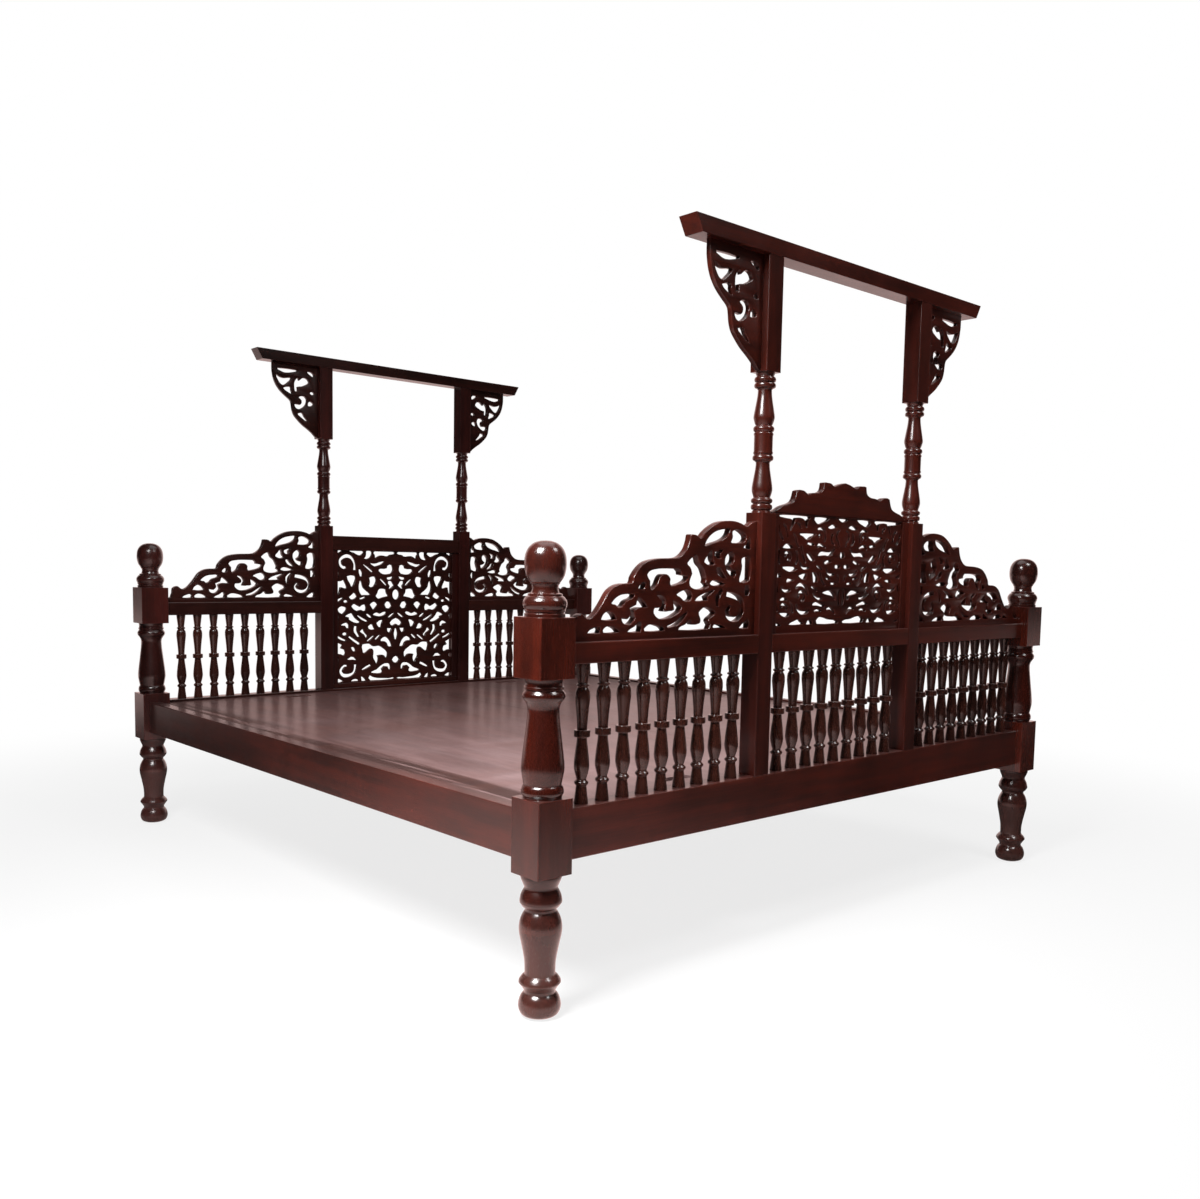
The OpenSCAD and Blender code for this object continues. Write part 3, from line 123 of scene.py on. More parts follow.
lamp("lamp_left", (-2.2, -1.2, 2.4), (-0.9, -0.9, 0.3), (0.9, 0.9), power=42, spread=100)
lamp("lamp_front", (0.6, -2.6, 3.2), (0.0, -1.2, 0.5), (0.9, 0.9), power=10, spread=95)
lamp("lamp_overhead", (0.2, -0.1, 4.4), (0, 0, 0.5), (3.2, 3.2), power=34)

# the way to the backdrop's middle, the cosines of the angle from it between which its sides
# fade out, and the sines of the height between which its top does
BEHIND = (0.66, 0.75, 0.0)
BACKDROP_SIDES = (0.50, 0.85)
BACKDROP_TOP = (0.75, 0.45)
# how bright the rest of the room is in a mirror and as plain light, how much plain light the
# backdrop adds, and the colour that the varnish mirrors
DIM = 0.03
ROOM_LIGHT = 0.06
BACKDROP_LIGHT = 0.6
BLUSH = (1.0, 0.71, 0.67, 1)
WHITE = (1, 1, 1, 1)


def ray_kinds(tree):
    """Masks for the rays that a finish mirrors or lets through, and for the camera's own."""
    rays = add(tree, "LightPath").outputs
    return (calc(tree, "MAXIMUM", rays["Is Glossy Ray"], rays["Is Transmission Ray"]),
            rays["Is Camera Ray"])


world = bpy.data.worlds.new("room")
scene.world = world
world.use_nodes = True
air = world.node_tree
air.nodes.clear()
shiny, direct = ray_kinds(air)
toward = add(air, "TexCoord").outputs["Generated"]
height = add(air, "SeparateXYZ", {0: toward}).outputs["Z"]
facing = add(air, "VectorMath", {0: toward, 1: BEHIND}, operation="DOT_PRODUCT").outputs["Value"]
backdrop = calc(air, "MULTIPLY", step(air, facing, *BACKDROP_SIDES),
                step(air, height, *BACKDROP_TOP))
mirrored = calc(air, "MULTIPLY_ADD", backdrop, 1.0 - DIM, DIM)
lighting = calc(air, "MULTIPLY_ADD", backdrop, BACKDROP_LIGHT, ROOM_LIGHT)
plain = add(air, "Background", {"Color": WHITE, "Strength": lighting})
reflected = add(air, "Background", {"Color": BLUSH, "Strength": mirrored})
white = add(air, "Background", {"Color": WHITE, "Strength": 1.0})
soft = add(air, "MixShader", {0: shiny, 1: plain.outputs[0], 2: reflected.outputs[0]})
seen = add(air, "MixShader", {0: direct, 1: soft.outputs[0], 2: white.outputs[0]})
add(air, "OutputWorld", {0: seen.outputs[0]})

# the floor glows white far off, so that it runs into the backdrop without a line, and the
# varnish mirrors only its lit parts: a pool by the left lamp, and what lies behind the bed
FLOOR_RADIUS = 14.0
UNDER_FEET = -0.0005
POOL_MIDDLE = (-1.5, -1.0, 0)
POOL_LIGHT = 1.2
# the distances over which the pool dims, the floor past the bed lights up in a mirror, and
# the floor turns to plain white for the camera
POOL_REACH = (0.3, 2.9)
PAST_BED = (0.9, 2.6)
WHITE_FROM = (1.2, 3.4)
floor_mesh = bpy.data.meshes.new("floor")
bm = bmesh.new()
bmesh.ops.create_circle(bm, cap_ends=True, segments=96, radius=FLOOR_RADIUS)
bm.to_mesh(floor_mesh)
bm.free()
floor = bpy.data.objects.new("floor", floor_mesh)
scene.collection.objects.link(floor)
floor.location = (0, 0, UNDER_FEET)
pale = bpy.data.materials.new("pale_floor")
pale.use_nodes = True
ground = pale.node_tree
ground.nodes.clear()
shiny, direct = ray_kinds(ground)
here = add(ground, "TexCoord").outputs["Object"]
far_off = add(ground, "VectorMath", {0: here}, operation="LENGTH").outputs["Value"]
from_pool = add(ground, "VectorMath", {0: here, 1: POOL_MIDDLE}, operation="DISTANCE")
past_bed = add(ground, "VectorMath", {0: here, 1: BEHIND}, operation="DOT_PRODUCT")
lit = calc(ground, "MAXIMUM",
           step(ground, from_pool.outputs["Value"], *POOL_REACH, POOL_LIGHT, DIM),
           step(ground, past_bed.outputs["Value"], *PAST_BED))
fade = calc(ground, "MULTIPLY", step(ground, far_off, *WHITE_FROM, 0.80, 1.0), direct)
matte = add(ground, "BsdfDiffuse", {"Color": (0.86, 0.86, 0.86, 1)})
glow = add(ground, "Emission", {"Color": WHITE, "Strength": 1.0})
pool = add(ground, "Emission", {"Color": BLUSH, "Strength": lit})
near = add(ground, "MixShader", {0: fade, 1: matte.outputs[0], 2: glow.outputs[0]})
both = add(ground, "MixShader", {0: shiny, 1: near.outputs[0], 2: pool.outputs[0]})
add(ground, "OutputMaterial", {0: both.outputs[0]})
floor_mesh.materials.append(pale)


# ---------------------------------------------------------------------------------------
# Corner posts: four sticks of close-grained hardwood, each turned in one piece with two
# squares left for the rails, stained dark red-brown and finished in glossy clear varnish.
# ---------------------------------------------------------------------------------------
def group(name, values, results):
    """An empty shader node group with named inputs and outputs."""
    tree = bpy.data.node_groups.new(name, "ShaderNodeTree")
    for label, kind, value in values:
        entry = tree.interface.new_socket(label, in_out="INPUT", socket_type="NodeSocket" + kind)
        if value is not None:
            entry.default_value = value
    for label, kind in results:
        tree.interface.new_socket(label, in_out="OUTPUT", socket_type="NodeSocket" + kind)
    return tree, tree.nodes.new("NodeGroupInput").outputs, tree.nodes.new("NodeGroupOutput")


def blend(tree, factor, a, b, kind="MIX"):
    """Two colours blended by a factor."""
    return add(tree, "Mix", {0: factor, 6: a, 7: b}, data_type="RGBA", blend_type=kind).outputs[2]


def streaks(tree, vector, scale, detail, rough=0.55, shift=0.0):
    """Noise over a vector stretched by scale on each axis, shifted so that no two are alike."""
    moved = add(tree, "VectorMath", {0: vector, 1: scale, 2: (shift, shift * 1.7, shift * 0.6)},
                operation="MULTIPLY_ADD").outputs[0]
    return add(tree, "TexNoise", {"Vector": moved, "Scale": 1.0, "Detail": detail,
                                  "Roughness": rough}).outputs["Fac"]


# Stained grain: growth streaks, fibres, fine pores and cloudy stain, with X along the grain.
# The scales are marks per metre along and across it
stain, given, out = group("stained_grain", [
    ("Vector", "Vector", None), ("Deep", "Color", (0.02, 0.006, 0.005, 1)),
    ("Warm", "Color", (0.08, 0.02, 0.012, 1)), ("Streaks", "Float", 0.5),
    ("Clouds", "Float", 0.35), ("Gloss", "Float", 0.2)],
    [("Color", "Color"), ("Roughness", "Float"), ("Height", "Float"), ("Wobble", "Float")])
at = given["Vector"]
streak = step(stain, streaks(stain, at, (2.2, 34, 34), 5), 0.36, 0.66)
fibre = step(stain, streaks(stain, at, (14, 420, 420), 3, 0.6, 3.1), 0.34, 0.70)
pore = step(stain, streaks(stain, at, (26, 900, 900), 2, 0.5, 7.7), 0.58, 0.70)
cloud = step(stain, streaks(stain, at, (3.1, 5.2, 5.2), 4, 0.6, 5.3), 0.34, 0.70)
tone = calc(stain, "MULTIPLY_ADD", streak, given["Streaks"],
            calc(stain, "MULTIPLY", cloud, given["Clouds"]))
tone = calc(stain, "MULTIPLY_ADD", fibre, 0.16, tone)
body = blend(stain, tone, given["Deep"], given["Warm"])
body = blend(stain, calc(stain, "MULTIPLY", pore, 0.45), body, given["Deep"])
stain.links.new(body, out.inputs["Color"])
dulled = calc(stain, "MULTIPLY_ADD", pore, 0.08, given["Gloss"])
stain.links.new(calc(stain, "MULTIPLY_ADD", cloud, 0.10, dulled), out.inputs["Roughness"])
sunk = calc(stain, "MULTIPLY", pore, -0.8)
stain.links.new(calc(stain, "MULTIPLY_ADD", fibre, 0.35, sunk), out.inputs["Height"])
stain.links.new(streaks(stain, at, (5.0, 16, 16), 2, 0.4, 9.2), out.inputs["Wobble"])

# Arrises: where the varnish is thin on an edge and rubbed paler, broken up by noise; the pale
# line also stands in for a painted highlight along the edge
arris, given, out = group("worn_and_highlit_arris", [("Vector", "Vector", None), ("Width", "Float", 0.003)],
                          [("Worn_and_highlit", "Float")])
round_normal = add(arris, "Bevel", {"Radius": given["Width"]}, samples=4).outputs[0]
true_normal = add(arris, "NewGeometry").outputs["Normal"]
turn = add(arris, "VectorMath", {0: round_normal, 1: true_normal}, operation="DOT_PRODUCT")
edge = step(arris, turn.outputs["Value"], 0.995, 0.86)
patch = step(arris, streaks(arris, given["Vector"], (30, 30, 30), 4, 0.6, 2.2), 0.38, 0.62)
arris.links.new(calc(arris, "MULTIPLY", edge, calc(arris, "MULTIPLY_ADD", patch, 0.75, 0.25)),
                out.inputs["Worn_and_highlit"])

# Settled dust and painted sheen: a thin pale film on faces that look up, part dust and part a
# painted sheen where light falls on top faces
film, given, out = group("settled_dust_and_sheen", [("Vector", "Vector", None)], [("Dust_and_sheen", "Float")])
up = add(film, "SeparateXYZ", {0: add(film, "NewGeometry").outputs["Normal"]}).outputs["Z"]
drift = step(film, streaks(film, given["Vector"], (7, 7, 7), 5, 0.65, 6.1), 0.30, 0.72)
film.links.new(calc(film, "MULTIPLY", step(film, up, 0.45, 1.0),
                    calc(film, "MULTIPLY_ADD", drift, 0.6, 0.4)), out.inputs["Dust_and_sheen"])

# Scuffs: thin pale scratches along the grain, in patches
marks, given, out = group("fine_scuffs", [("Vector", "Vector", None)], [("Scuff", "Float")])
wander = streaks(marks, given["Vector"], (5, 30, 30), 3, 0.5, 4.4)
line = step(marks, calc(marks, "ABSOLUTE", calc(marks, "SUBTRACT", wander, 0.5)), 0.007, 0.001)
where = step(marks, streaks(marks, given["Vector"], (2.2, 3.4, 3.4), 3, 0.6, 8.8), 0.50, 0.62)
marks.links.new(calc(marks, "MULTIPLY", line, where), out.inputs["Scuff"])

# how the wood's own X, along its grain, is turned to each axis of the bed
GRAIN_TURN = {"X": (0, 0, 0), "Y": (0, 0, -math.pi / 2), "Z": (0, math.pi / 2, 0)}


def stained_wood(name, along, deep, warm, streak=0.5, clouds=0.35, gloss=0.20, coat=0.35,
                 coat_rough=0.08, bump=0.12, wobble=0.10, edge_wear_and_highlight=0.35, dust_and_sheen=0.18, scuffs=0.0,
                 dust_and_sheen_colour=(0.24, 0.15, 0.14)):
    """Varnished, stained hardwood with its grain along one axis of the bed.

    deep and warm are the stain's darkest and warmest colours, and streak and clouds say how
    far it varies between them. edge_wear_and_highlight, dust_and_sheen and scuffs say how
    strongly each of those shows: rubbed edges that also paint a highlight, a pale settled film on
    faces that look up that also paints a sheen, and scratches along the grain.
    """
    paint = bpy.data.materials.new(name)
    paint.use_nodes = True
    tree = paint.node_tree
    surface = tree.nodes["Principled BSDF"]
    place = add(tree, "TexCoord").outputs["Object"]
    run = add(tree, "Mapping", {"Vector": place, "Rotation": GRAIN_TURN[along]}).outputs[0]
    grain = add(tree, "Group", {"Vector": run, "Deep": (*deep, 1), "Warm": (*warm, 1),
                                "Streaks": streak, "Clouds": clouds, "Gloss": gloss},
                node_tree=stain).outputs
    edge = add(tree, "Group", {"Vector": place}, node_tree=arris).outputs["Worn_and_highlit"]
    lying = add(tree, "Group", {"Vector": place}, node_tree=film).outputs["Dust_and_sheen"]
    scratch = add(tree, "Group", {"Vector": run}, node_tree=marks).outputs["Scuff"]
    rubbed_and_highlit = calc(tree, "MAXIMUM", calc(tree, "MULTIPLY", edge, edge_wear_and_highlight),
                  calc(tree, "MULTIPLY", scratch, scuffs))
    # the film on faces that look up is settled dust and also a painted sheen
    dust_and_sheen_film = calc(tree, "MULTIPLY", lying, dust_and_sheen)
    # where the varnish is rubbed away, the wood under it is much paler, and along the edges this
    # pale colour also paints a highlight
    bared_and_highlit = tuple(min(1.0, c * 2.2 + 0.02) for c in warm) + (1,)
    colour = blend(tree, rubbed_and_highlit, grain["Color"], bared_and_highlit)
    colour = blend(tree, dust_and_sheen_film, colour, (*dust_and_sheen_colour, 1))
    rough = calc(tree, "MULTIPLY_ADD", rubbed_and_highlit, 0.2, grain["Roughness"])
    rough = calc(tree, "MULTIPLY_ADD", dust_and_sheen_film, 0.5, rough)
    wave = add(tree, "Bump", {"Strength": wobble, "Distance": 0.004, "Height": grain["Wobble"]})
    relief = add(tree, "Bump", {"Strength": bump, "Distance": 0.0006, "Height": grain["Height"],
                                "Normal": wave.outputs[0]})
    for key, value in (("Base Color", colour), ("Roughness", rough),
                       ("Normal", relief.outputs[0])):
        tree.links.new(value, surface.inputs[key])
    surface.inputs["Coat Weight"].default_value = coat
    surface.inputs["Coat Roughness"].default_value = coat_rough
    surface.inputs["Specular IOR Level"].default_value = 0.35
    return paint


def tint(paint, amount, colour, kind="MIX"):
    """Blends a colour into a finish's base colour by a mask."""
    tree = paint.node_tree
    base = tree.nodes["Principled BSDF"].inputs["Base Color"]
    tree.links.new(blend(tree, amount, base.links[0].from_socket, (*colour, 1), kind), base)


def whereabouts(paint):
    """The finish's node tree and sockets with the bed's own X, Y and Z."""
    place = add(paint.node_tree, "TexCoord").outputs["Object"]
    return paint.node_tree, add(paint.node_tree, "SeparateXYZ", {0: place}).outputs


# points nearer than this are one point, and faces that meet flatter than this are one face
WELD = 1e-5
ONE_FACE = math.radians(0.6)


def dress(node, finish, arris=0.0015, crease=32):
    """Gives a CAD node its finish, with whole faces, eased arrises and smooth turnings."""
    obj = nodes[node]
    mesh = obj.data
    if "custom_normal" in mesh.attributes:
        mesh.attributes.remove(mesh.attributes["custom_normal"])
    mesh.polygons.foreach_set("use_smooth", [True] * len(mesh.polygons))
    mesh.edges.foreach_set("use_edge_sharp", [False] * len(mesh.edges))
    mesh.materials.clear()
    mesh.materials.append(finish)
    obj.modifiers.new("whole_faces", "WELD").merge_threshold = WELD
    flat = obj.modifiers.new("flat_faces", "DECIMATE")
    flat.decimate_type = "DISSOLVE"
    flat.angle_limit = ONE_FACE
    ease = obj.modifiers.new("eased_arris", "BEVEL")
    ease.width = arris
    ease.segments = 2
    ease.limit_method = "ANGLE"
    ease.angle_limit = math.radians(crease)
    obj.modifiers.new("flat_shading", "WEIGHTED_NORMAL").keep_sharp = False


# the stain of each end, as its darkest and its warmest colour: the lattice end's is darker and
# browner, a painted shade for that end lying further from the lamps, but its posts and
# uprights took more red than its rails and boards
END_STAINS_AND_SHADE = {"crest": ((0.0170, 0.0030, 0.0017), (0.0930, 0.0110, 0.0045)),
          "lattice": ((0.0140, 0.0034, 0.0024), (0.0600, 0.0110, 0.0066))}
STICK_STAINS = {**END_STAINS_AND_SHADE, "lattice": ((0.0180, 0.0036, 0.0028), (0.0900, 0.0135, 0.0095))}
POST_COAT_ROUGH = {"crest": 0.19, "lattice": 0.28}
# where the posts' axes stand, and how near to them the wood is round and not square
POST_X, POST_Y = 0.92, 1.03
ROUND_WITHIN = (0.0425, 0.0419)
# the heights between which the soaked stain thins, which paints the balls lighter as if better
# lit, and where the feet and the balls get a pale painted sheen and a little dust
BALLS_PAINTED_LIGHTER = (0.72, 0.80)
FEET = (0.32, 0.08)
BALLS = (0.74, 0.82)
SHEEN_AND_DUST_HAZE = (0.42, 0.20, 0.17)
for end, (deep, warm) in STICK_STAINS.items():
    turned_wood = stained_wood(f"{end}_post_varnish", "Z", deep, warm, streak=0.35, clouds=0.5,
                               gloss=0.17, coat=0.9, coat_rough=POST_COAT_ROUGH[end])
    # the turned parts show end grain, which drinks more stain than the square blocks
    tree, spot = whereabouts(turned_wood)
    off_x = calc(tree, "SUBTRACT", calc(tree, "ABSOLUTE", spot["X"]), POST_X)
    off_y = calc(tree, "SUBTRACT", calc(tree, "ABSOLUTE", spot["Y"]), POST_Y)
    radius = calc(tree, "SQRT", calc(tree, "MULTIPLY_ADD", off_x, off_x,
                                     calc(tree, "MULTIPLY", off_y, off_y)))
    # the soak eases on the balls, which paints them lighter, as if better lit
    soak_and_lit_balls = calc(tree, "MULTIPLY", step(tree, radius, *ROUND_WITHIN),
                  step(tree, spot["Z"], *BALLS_PAINTED_LIGHTER, 0.60, 0.38))
    tint(turned_wood, soak_and_lit_balls, (0.22, 0.14, 0.10), "MULTIPLY")
    # feet and balls get a pale painted sheen, standing in for the floor mirrored in them, with a
    # little dust
    sheen_and_dust = calc(tree, "MAXIMUM", step(tree, spot["Z"], *FEET, 0.0, 0.085),
                step(tree, spot["Z"], *BALLS, 0.0, 0.02))
    tint(turned_wood, sheen_and_dust, SHEEN_AND_DUST_HAZE)
    for hand in ("left", "right"):
        dress(f"post_{end}_{hand}", turned_wood, arris=0.0012)


# ---------------------------------------------------------------------------------------
# Rails: straight hardwood boards on edge. The end rails are tenoned into the posts, and
# the side rails hang on steel hook plates so that the bed can be taken apart.
# ---------------------------------------------------------------------------------------
end_wood = {end: stained_wood(f"{end}_rail_varnish", "X", deep, warm, streak=0.35, clouds=0.45,
                              gloss=0.30, coat=0.5, coat_rough=0.16)
            for end, (deep, warm) in END_STAINS_AND_SHADE.items()}
side_wood = stained_wood("side_rail_varnish", "Y", *END_STAINS_AND_SHADE["crest"], streak=0.35, clouds=0.45,
                         gloss=0.34, coat=0.5, coat_rough=0.20, bump=0.25, scuffs=0.5)
# the side rails are painted darker towards the lattice end, as shade further from the lamps, and
# carry a thin painted sheen by the crested one
FAR_PAINTED_SHADE = (-0.5, 0.5)
NEAR_PAINTED_SHEEN = (-0.2, -1.0)
tree, spot = whereabouts(side_wood)
tint(side_wood, step(tree, spot["Y"], *FAR_PAINTED_SHADE, 0.0, 0.75), (0.42, 0.45, 0.50), "MULTIPLY")
tint(side_wood, step(tree, spot["Y"], *NEAR_PAINTED_SHEEN, 0.0, 0.06), (0.36, 0.22, 0.20))
END_RAILS = {"crest": ("bottom_rail", "mid_rail_left", "mid_rail_centre", "mid_rail_right"),
             "lattice": ("bottom_rail", "mid_rail_left", "mid_rail_right", "sill", "top_rail")}
for end, rails in END_RAILS.items():
    for rail in rails:
        dress(f"{end}_{rail}", end_wood[end], arris=0.0025)
for node in ("side_rail_left", "side_rail_right"):
    dress(node, side_wood)

plate_steel = stained_wood("plated_steel", "Z", (0.40, 0.40, 0.39), (0.60, 0.60, 0.58),
                           gloss=0.34, coat=0.0, wobble=0.02, bump=0.05,
                           dust_and_sheen_colour=(0.30, 0.26, 0.24))
plate_steel.node_tree.nodes["Principled BSDF"].inputs["Metallic"].default_value = 1.0
for node in ("rail_hooks", "post_plates"):
    dress(node, plate_steel, arris=0.0004)


# ---------------------------------------------------------------------------------------
# Deck: two wide boards that lift out by hand slots, lying on cleats and sawn bearers.
# They have the same stain, thinner and cloudier, under a greyish film of old polish, painted
# paler towards the near left as a sheen, with lap marks where the coats met and the film
# rubbed off along their outer edges.
# ---------------------------------------------------------------------------------------
deck_wood = stained_wood("deck_varnish", "Y", (0.036, 0.0105, 0.0080), (0.110, 0.036, 0.028),
                         streak=0.4, clouds=0.5, gloss=0.38, coat=0.4, coat_rough=0.24,
                         bump=0.3, wobble=0.15, dust_and_sheen=0.0, scuffs=0.3)
POLISH_AND_PAINTED_SHEEN = (0.36, 0.235, 0.235)
RUBBED_STAIN = (0.020, 0.0050, 0.0035)
LAPPED_STAIN = (0.20, 0.060, 0.030)
tree, spot = whereabouts(deck_wood)
surface = tree.nodes["Principled BSDF"]
boards = add(tree, "TexCoord").outputs["Object"]
# the polish lies in broad brushed clouds, narrow wiped streaks and the marks of a rag
brushed = step(tree, streaks(tree, boards, (3.2, 1.1, 1), 6, 0.7, 1.3), 0.30, 0.72)
wiped = step(tree, streaks(tree, boards, (46, 3.0, 1), 4, 0.6, 2.9), 0.42, 0.75)
lap = step(tree, streaks(tree, boards, (0.8, 7.0, 1), 5, 0.7, 5.7), 0.50, 0.60)
rag = step(tree, streaks(tree, boards, (2.6, 19, 1), 3, 0.5, 3.3), 0.46, 0.66)
rag_patch = step(tree, streaks(tree, boards, (1.7, 2.2, 1), 3, 0.6, 9.9), 0.46, 0.60)
polish_and_sheen = calc(tree, "MULTIPLY_ADD", brushed, 0.45, calc(tree, "MULTIPLY_ADD", wiped, 0.2, 0.25))
polish_and_sheen = calc(tree, "MULTIPLY_ADD", calc(tree, "MULTIPLY", rag, rag_patch), 0.22, polish_and_sheen)
# it is rubbed off in streaks along the outer edges, outside this distance from the middle
RUBBED_FROM = (0.800, 0.846)
outside = step(tree, calc(tree, "ABSOLUTE", spot["X"]), *RUBBED_FROM)
bare = calc(tree, "MULTIPLY", outside,
            step(tree, streaks(tree, boards, (34, 1.6, 1), 4, 0.6, 7.1), 0.40, 0.56))
polish_and_sheen = calc(tree, "MULTIPLY", polish_and_sheen, calc(tree, "SUBTRACT", 1.0, bare))
# the film is painted thickest at the near left corner, as a painted sheen there, and thins
# out towards the far right, with the varnish under it: far is about 1 in the far right corner and
# -1 in the near left one
POLISH_AND_SHEEN_THINNING = (0.85, -0.75)
VARNISH_THINNING = (0.90, 0.25)
far = calc(tree, "MULTIPLY_ADD", spot["X"], 0.3, calc(tree, "MULTIPLY", spot["Y"], 0.8))
polish_and_sheen = calc(tree, "MULTIPLY", polish_and_sheen, step(tree, far, *POLISH_AND_SHEEN_THINNING, 0.30, 1.40))
# the pale film is old polish and, strongest at the near left, a painted sheen
tint(deck_wood, calc(tree, "MULTIPLY", polish_and_sheen, 0.58), POLISH_AND_PAINTED_SHEEN)
tint(deck_wood, calc(tree, "MULTIPLY", bare, 0.75), RUBBED_STAIN)
tint(deck_wood, calc(tree, "MULTIPLY", lap, 0.10), LAPPED_STAIN)
FAR_HALF = (0.0, 0.9)
dull = calc(tree, "ADD", step(tree, spot["Y"], *FAR_HALF, 0.0, 0.14),
            surface.inputs["Roughness"].links[0].from_socket)
dull = calc(tree, "MULTIPLY_ADD", polish_and_sheen, 0.16, dull)
varnish = calc(tree, "MULTIPLY", calc(tree, "MULTIPLY_ADD", bare, -0.3, 0.4),
               step(tree, far, *VARNISH_THINNING, 0.10, 1.0))
tree.links.new(dull, surface.inputs["Roughness"])
tree.links.new(varnish, surface.inputs["Coat Weight"])
for node in ("deck_left", "deck_right"):
    dress(node, deck_wood, arris=0.001)

# the pieces under the deck are sawn and left bare, their grain along their own length
RAW_WOOD = ((0.060, 0.025, 0.014), (0.160, 0.075, 0.040))
BEARERS = ("bearer_1", "bearer_2", "bearer_3", "bearer_4", "cleat_crest", "cleat_lattice")
for name, along, carriers in (("sawn_bearer", "X", BEARERS),
                              ("sawn_ledger", "Y", ("ledger_left", "ledger_right"))):
    sawn_wood = stained_wood(name, along, *RAW_WOOD, gloss=0.55, coat=0.0, bump=0.5)
    for node in carriers:
        dress(node, sawn_wood, arris=0.001)


# ---------------------------------------------------------------------------------------
# Spindles: small turnings with a foot cone, a vase, a flat collar and a second vase upside
# down above it, pegged into the bottom and middle rails of each bay.
# ---------------------------------------------------------------------------------------
spindle_wood = stained_wood("spindle_varnish", "Z", (0.0140, 0.0042, 0.0030),
                            (0.0600, 0.0150, 0.0090), streak=0.35, clouds=0.5, gloss=0.18,
                            coat=0.8, coat_rough=0.15)
for node in sorted(nodes):
    if "_spindles_" in node:
        dress(node, spindle_wood, arris=0.0005, crease=38)


# ---------------------------------------------------------------------------------------
# Uprights and beams: each upright is square up to the panels, turned with two vases and
# their rings above them, and square again under the head beam, which caps both.
# ---------------------------------------------------------------------------------------
SHADE_BELOW_RINGS = (0.98, 0.70)
for end, (deep, warm) in STICK_STAINS.items():
    upright_wood = stained_wood(f"{end}_upright_varnish", "Z", deep, warm, streak=0.35,
                                clouds=0.45, gloss=0.28, coat=0.8, coat_rough=0.12)
    # below the rings the squares are painted darker, as the shade that falls low between the
    # rails and panels
    tree, spot = whereabouts(upright_wood)
    painted_shade = step(tree, spot["Z"], *SHADE_BELOW_RINGS, 0.0, 0.60)
    tint(upright_wood, painted_shade, (0.30, 0.22, 0.20), "MULTIPLY")
    for hand in ("left", "right"):
        dress(f"{end}_upright_{hand}", upright_wood, arris=0.0012)
        dress(f"{end}_stile_{hand}", upright_wood, arris=0.001)
    dress(f"{end}_beam", end_wood[end], arris=0.002)


# ---------------------------------------------------------------------------------------
# Openwork: flat boards pierced with a fretsaw and set in grooves of the posts, uprights and
# stiles, the cut edges rounded over with a knife and file, and varnished like the rest.
# ---------------------------------------------------------------------------------------
# an edge of the drawing longer than this stays straight, a corner that turns more degrees
# than this stays sharp, and faces that meet at more degrees than this show a crease
LONG_EDGE = 0.04
CORNER = 38
CREASE = 40


def face_loops(node):
    """The outlines of a panel's front face, outer edge and openings, as lists of (x, z)."""
    bm = bmesh.new()
    bm.from_mesh(nodes[node].data)
    bmesh.ops.remove_doubles(bm, verts=bm.verts, dist=WELD)
    low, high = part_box(node)
    # the front face's edges are those that it shares with a cut edge or a side
    front = [e for e in bm.edges if len(e.link_faces) == 2 and
             all(abs(v.co.y - low.y) < WELD for v in e.verts) and
             sorted(abs(f.normal.y) > 0.9 for f in e.link_faces) == [False, True]]
    after = {}
    for edge in front:
        a, b = edge.verts
        after.setdefault(a, []).append(b)
        after.setdefault(b, []).append(a)
    loops = []
    while after:
        start = min(after, key=lambda v: (round(v.co.x, 5), round(v.co.z, 5)))
        line, here = [start], after.pop(start)[0]
        while here is not start:
            line.append(here)
            onward = [v for v in after.pop(here) if v is not line[-2]]
            here = onward[0] if onward else start
        loops.append([(v.co.x, v.co.z) for v in line])
    bm.free()
    return loops, low.y, high.y


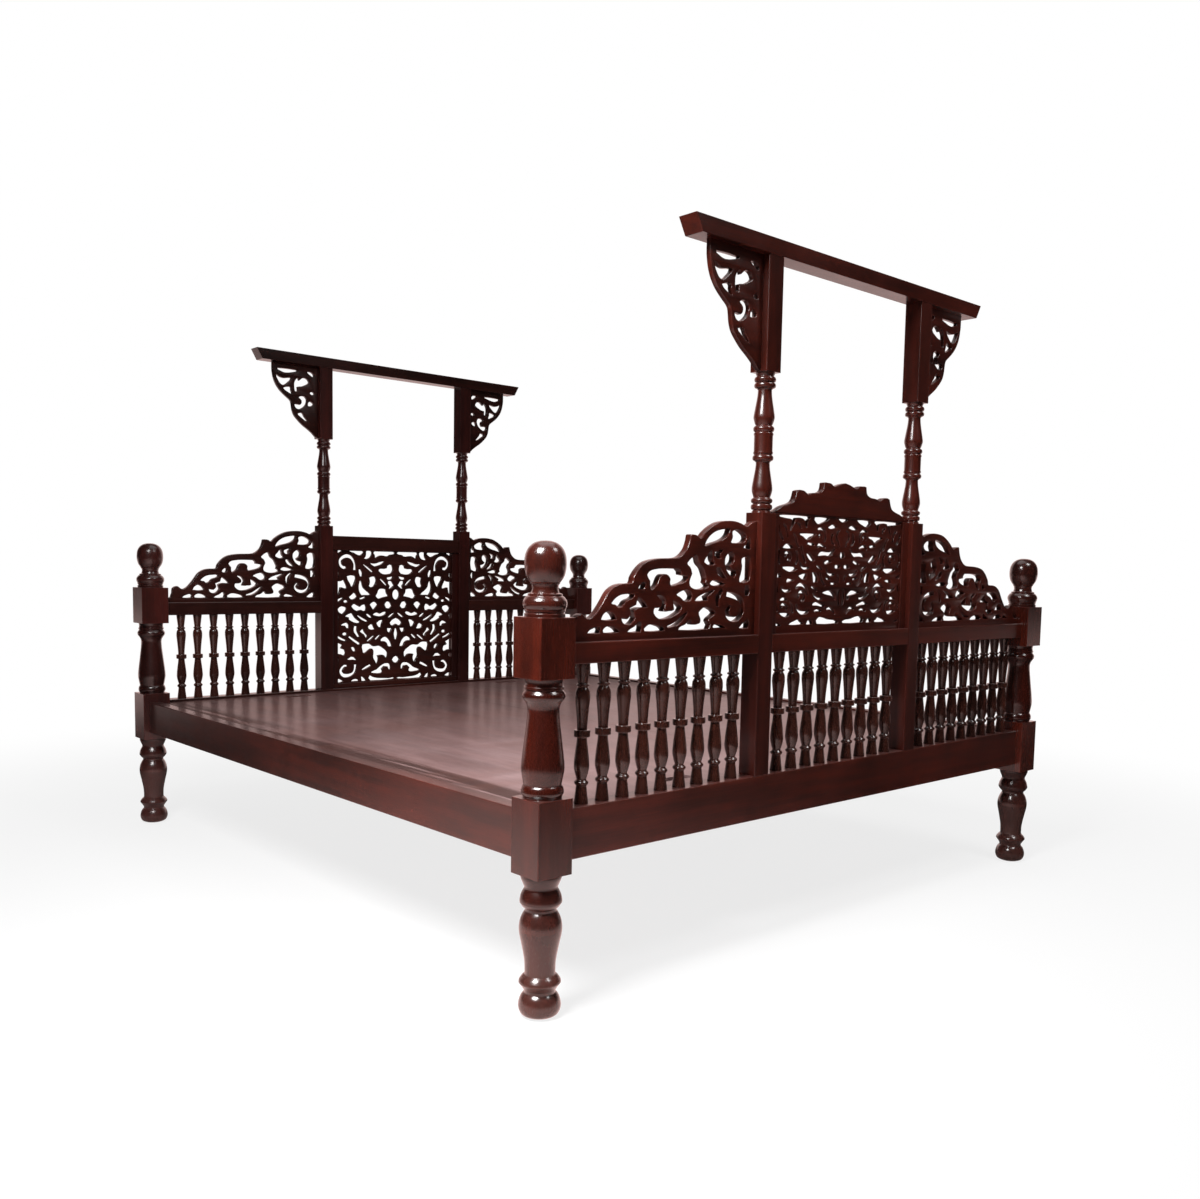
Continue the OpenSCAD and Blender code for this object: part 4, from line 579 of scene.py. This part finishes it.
def pierced_board(node, finish, round_over=0.002):
    """The node's board with the same outline and openings, its edges rounded over."""
    loops, y0, y1 = face_loops(node)
    drawing = bpy.data.curves.new(node + "_drawing", "CURVE")
    drawing.dimensions = "2D"
    drawing.fill_mode = "BOTH"
    drawing.resolution_u = 3
    drawing.extrude = (y1 - y0) / 2 - round_over
    drawing.bevel_depth = round_over
    drawing.bevel_resolution = 2
    drawing.offset = -round_over
    for loop in loops:
        count = len(loop)
        spline = drawing.splines.new("BEZIER")
        spline.bezier_points.add(count - 1)
        spline.use_cyclic_u = True
        for i, (x, z) in enumerate(loop):
            px, pz = loop[i - 1]
            nx, nz = loop[(i + 1) % count]
            # how far the outline turns here, in degrees
            bend = abs((math.degrees(math.atan2(nz - z, nx - x) - math.atan2(z - pz, x - px))
                        + 180) % 360 - 180)
            edge = max(math.hypot(nx - x, nz - z), math.hypot(x - px, z - pz))
            point = spline.bezier_points[i]
            point.co = (x, z, 0)
            kind = "VECTOR" if bend > CORNER or edge > LONG_EDGE else "AUTO"
            point.handle_left_type = point.handle_right_type = kind
    holder = bpy.data.objects.new(node + "_drawing", drawing)
    scene.collection.objects.link(holder)
    bpy.context.view_layer.update()
    mesh = bpy.data.meshes.new_from_object(holder.evaluated_get(
        bpy.context.evaluated_depsgraph_get()))
    bpy.data.objects.remove(holder)
    mesh.transform(Matrix.Translation((0, (y0 + y1) / 2, 0))
                   @ Matrix.Rotation(math.pi / 2, 4, "X"))
    bm = bmesh.new()
    bm.from_mesh(mesh)
    bmesh.ops.remove_doubles(bm, verts=bm.verts, dist=2 * WELD)
    bmesh.ops.recalc_face_normals(bm, faces=bm.faces)
    bm.to_mesh(mesh)
    bm.free()
    mesh.materials.append(finish)
    mesh.polygons.foreach_set("use_smooth", [True] * len(mesh.polygons))
    mesh.set_sharp_from_angle(angle=math.radians(CREASE))
    board = bpy.data.objects.new(node + "_board", mesh)
    scene.collection.objects.link(board)
    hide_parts(node)
    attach(board, "bed_frame")


for end, (deep, warm) in END_STAINS_AND_SHADE.items():
    pierced_wood = stained_wood(f"{end}_board_varnish", "X", deep, warm, streak=0.35, clouds=0.5,
                                gloss=0.30, coat=0.6, coat_rough=0.14)
    for hand in ("left", "right"):
        for piece in ("scroll", "bracket"):
            pierced_board(f"{end}_{piece}_{hand}", pierced_wood)
    pierced_board(f"{end}_jali", pierced_wood, round_over=0.0015)
    if end == "crest":
        pierced_board("crest_board", pierced_wood, round_over=0.003)

bpy.context.view_layer.update()
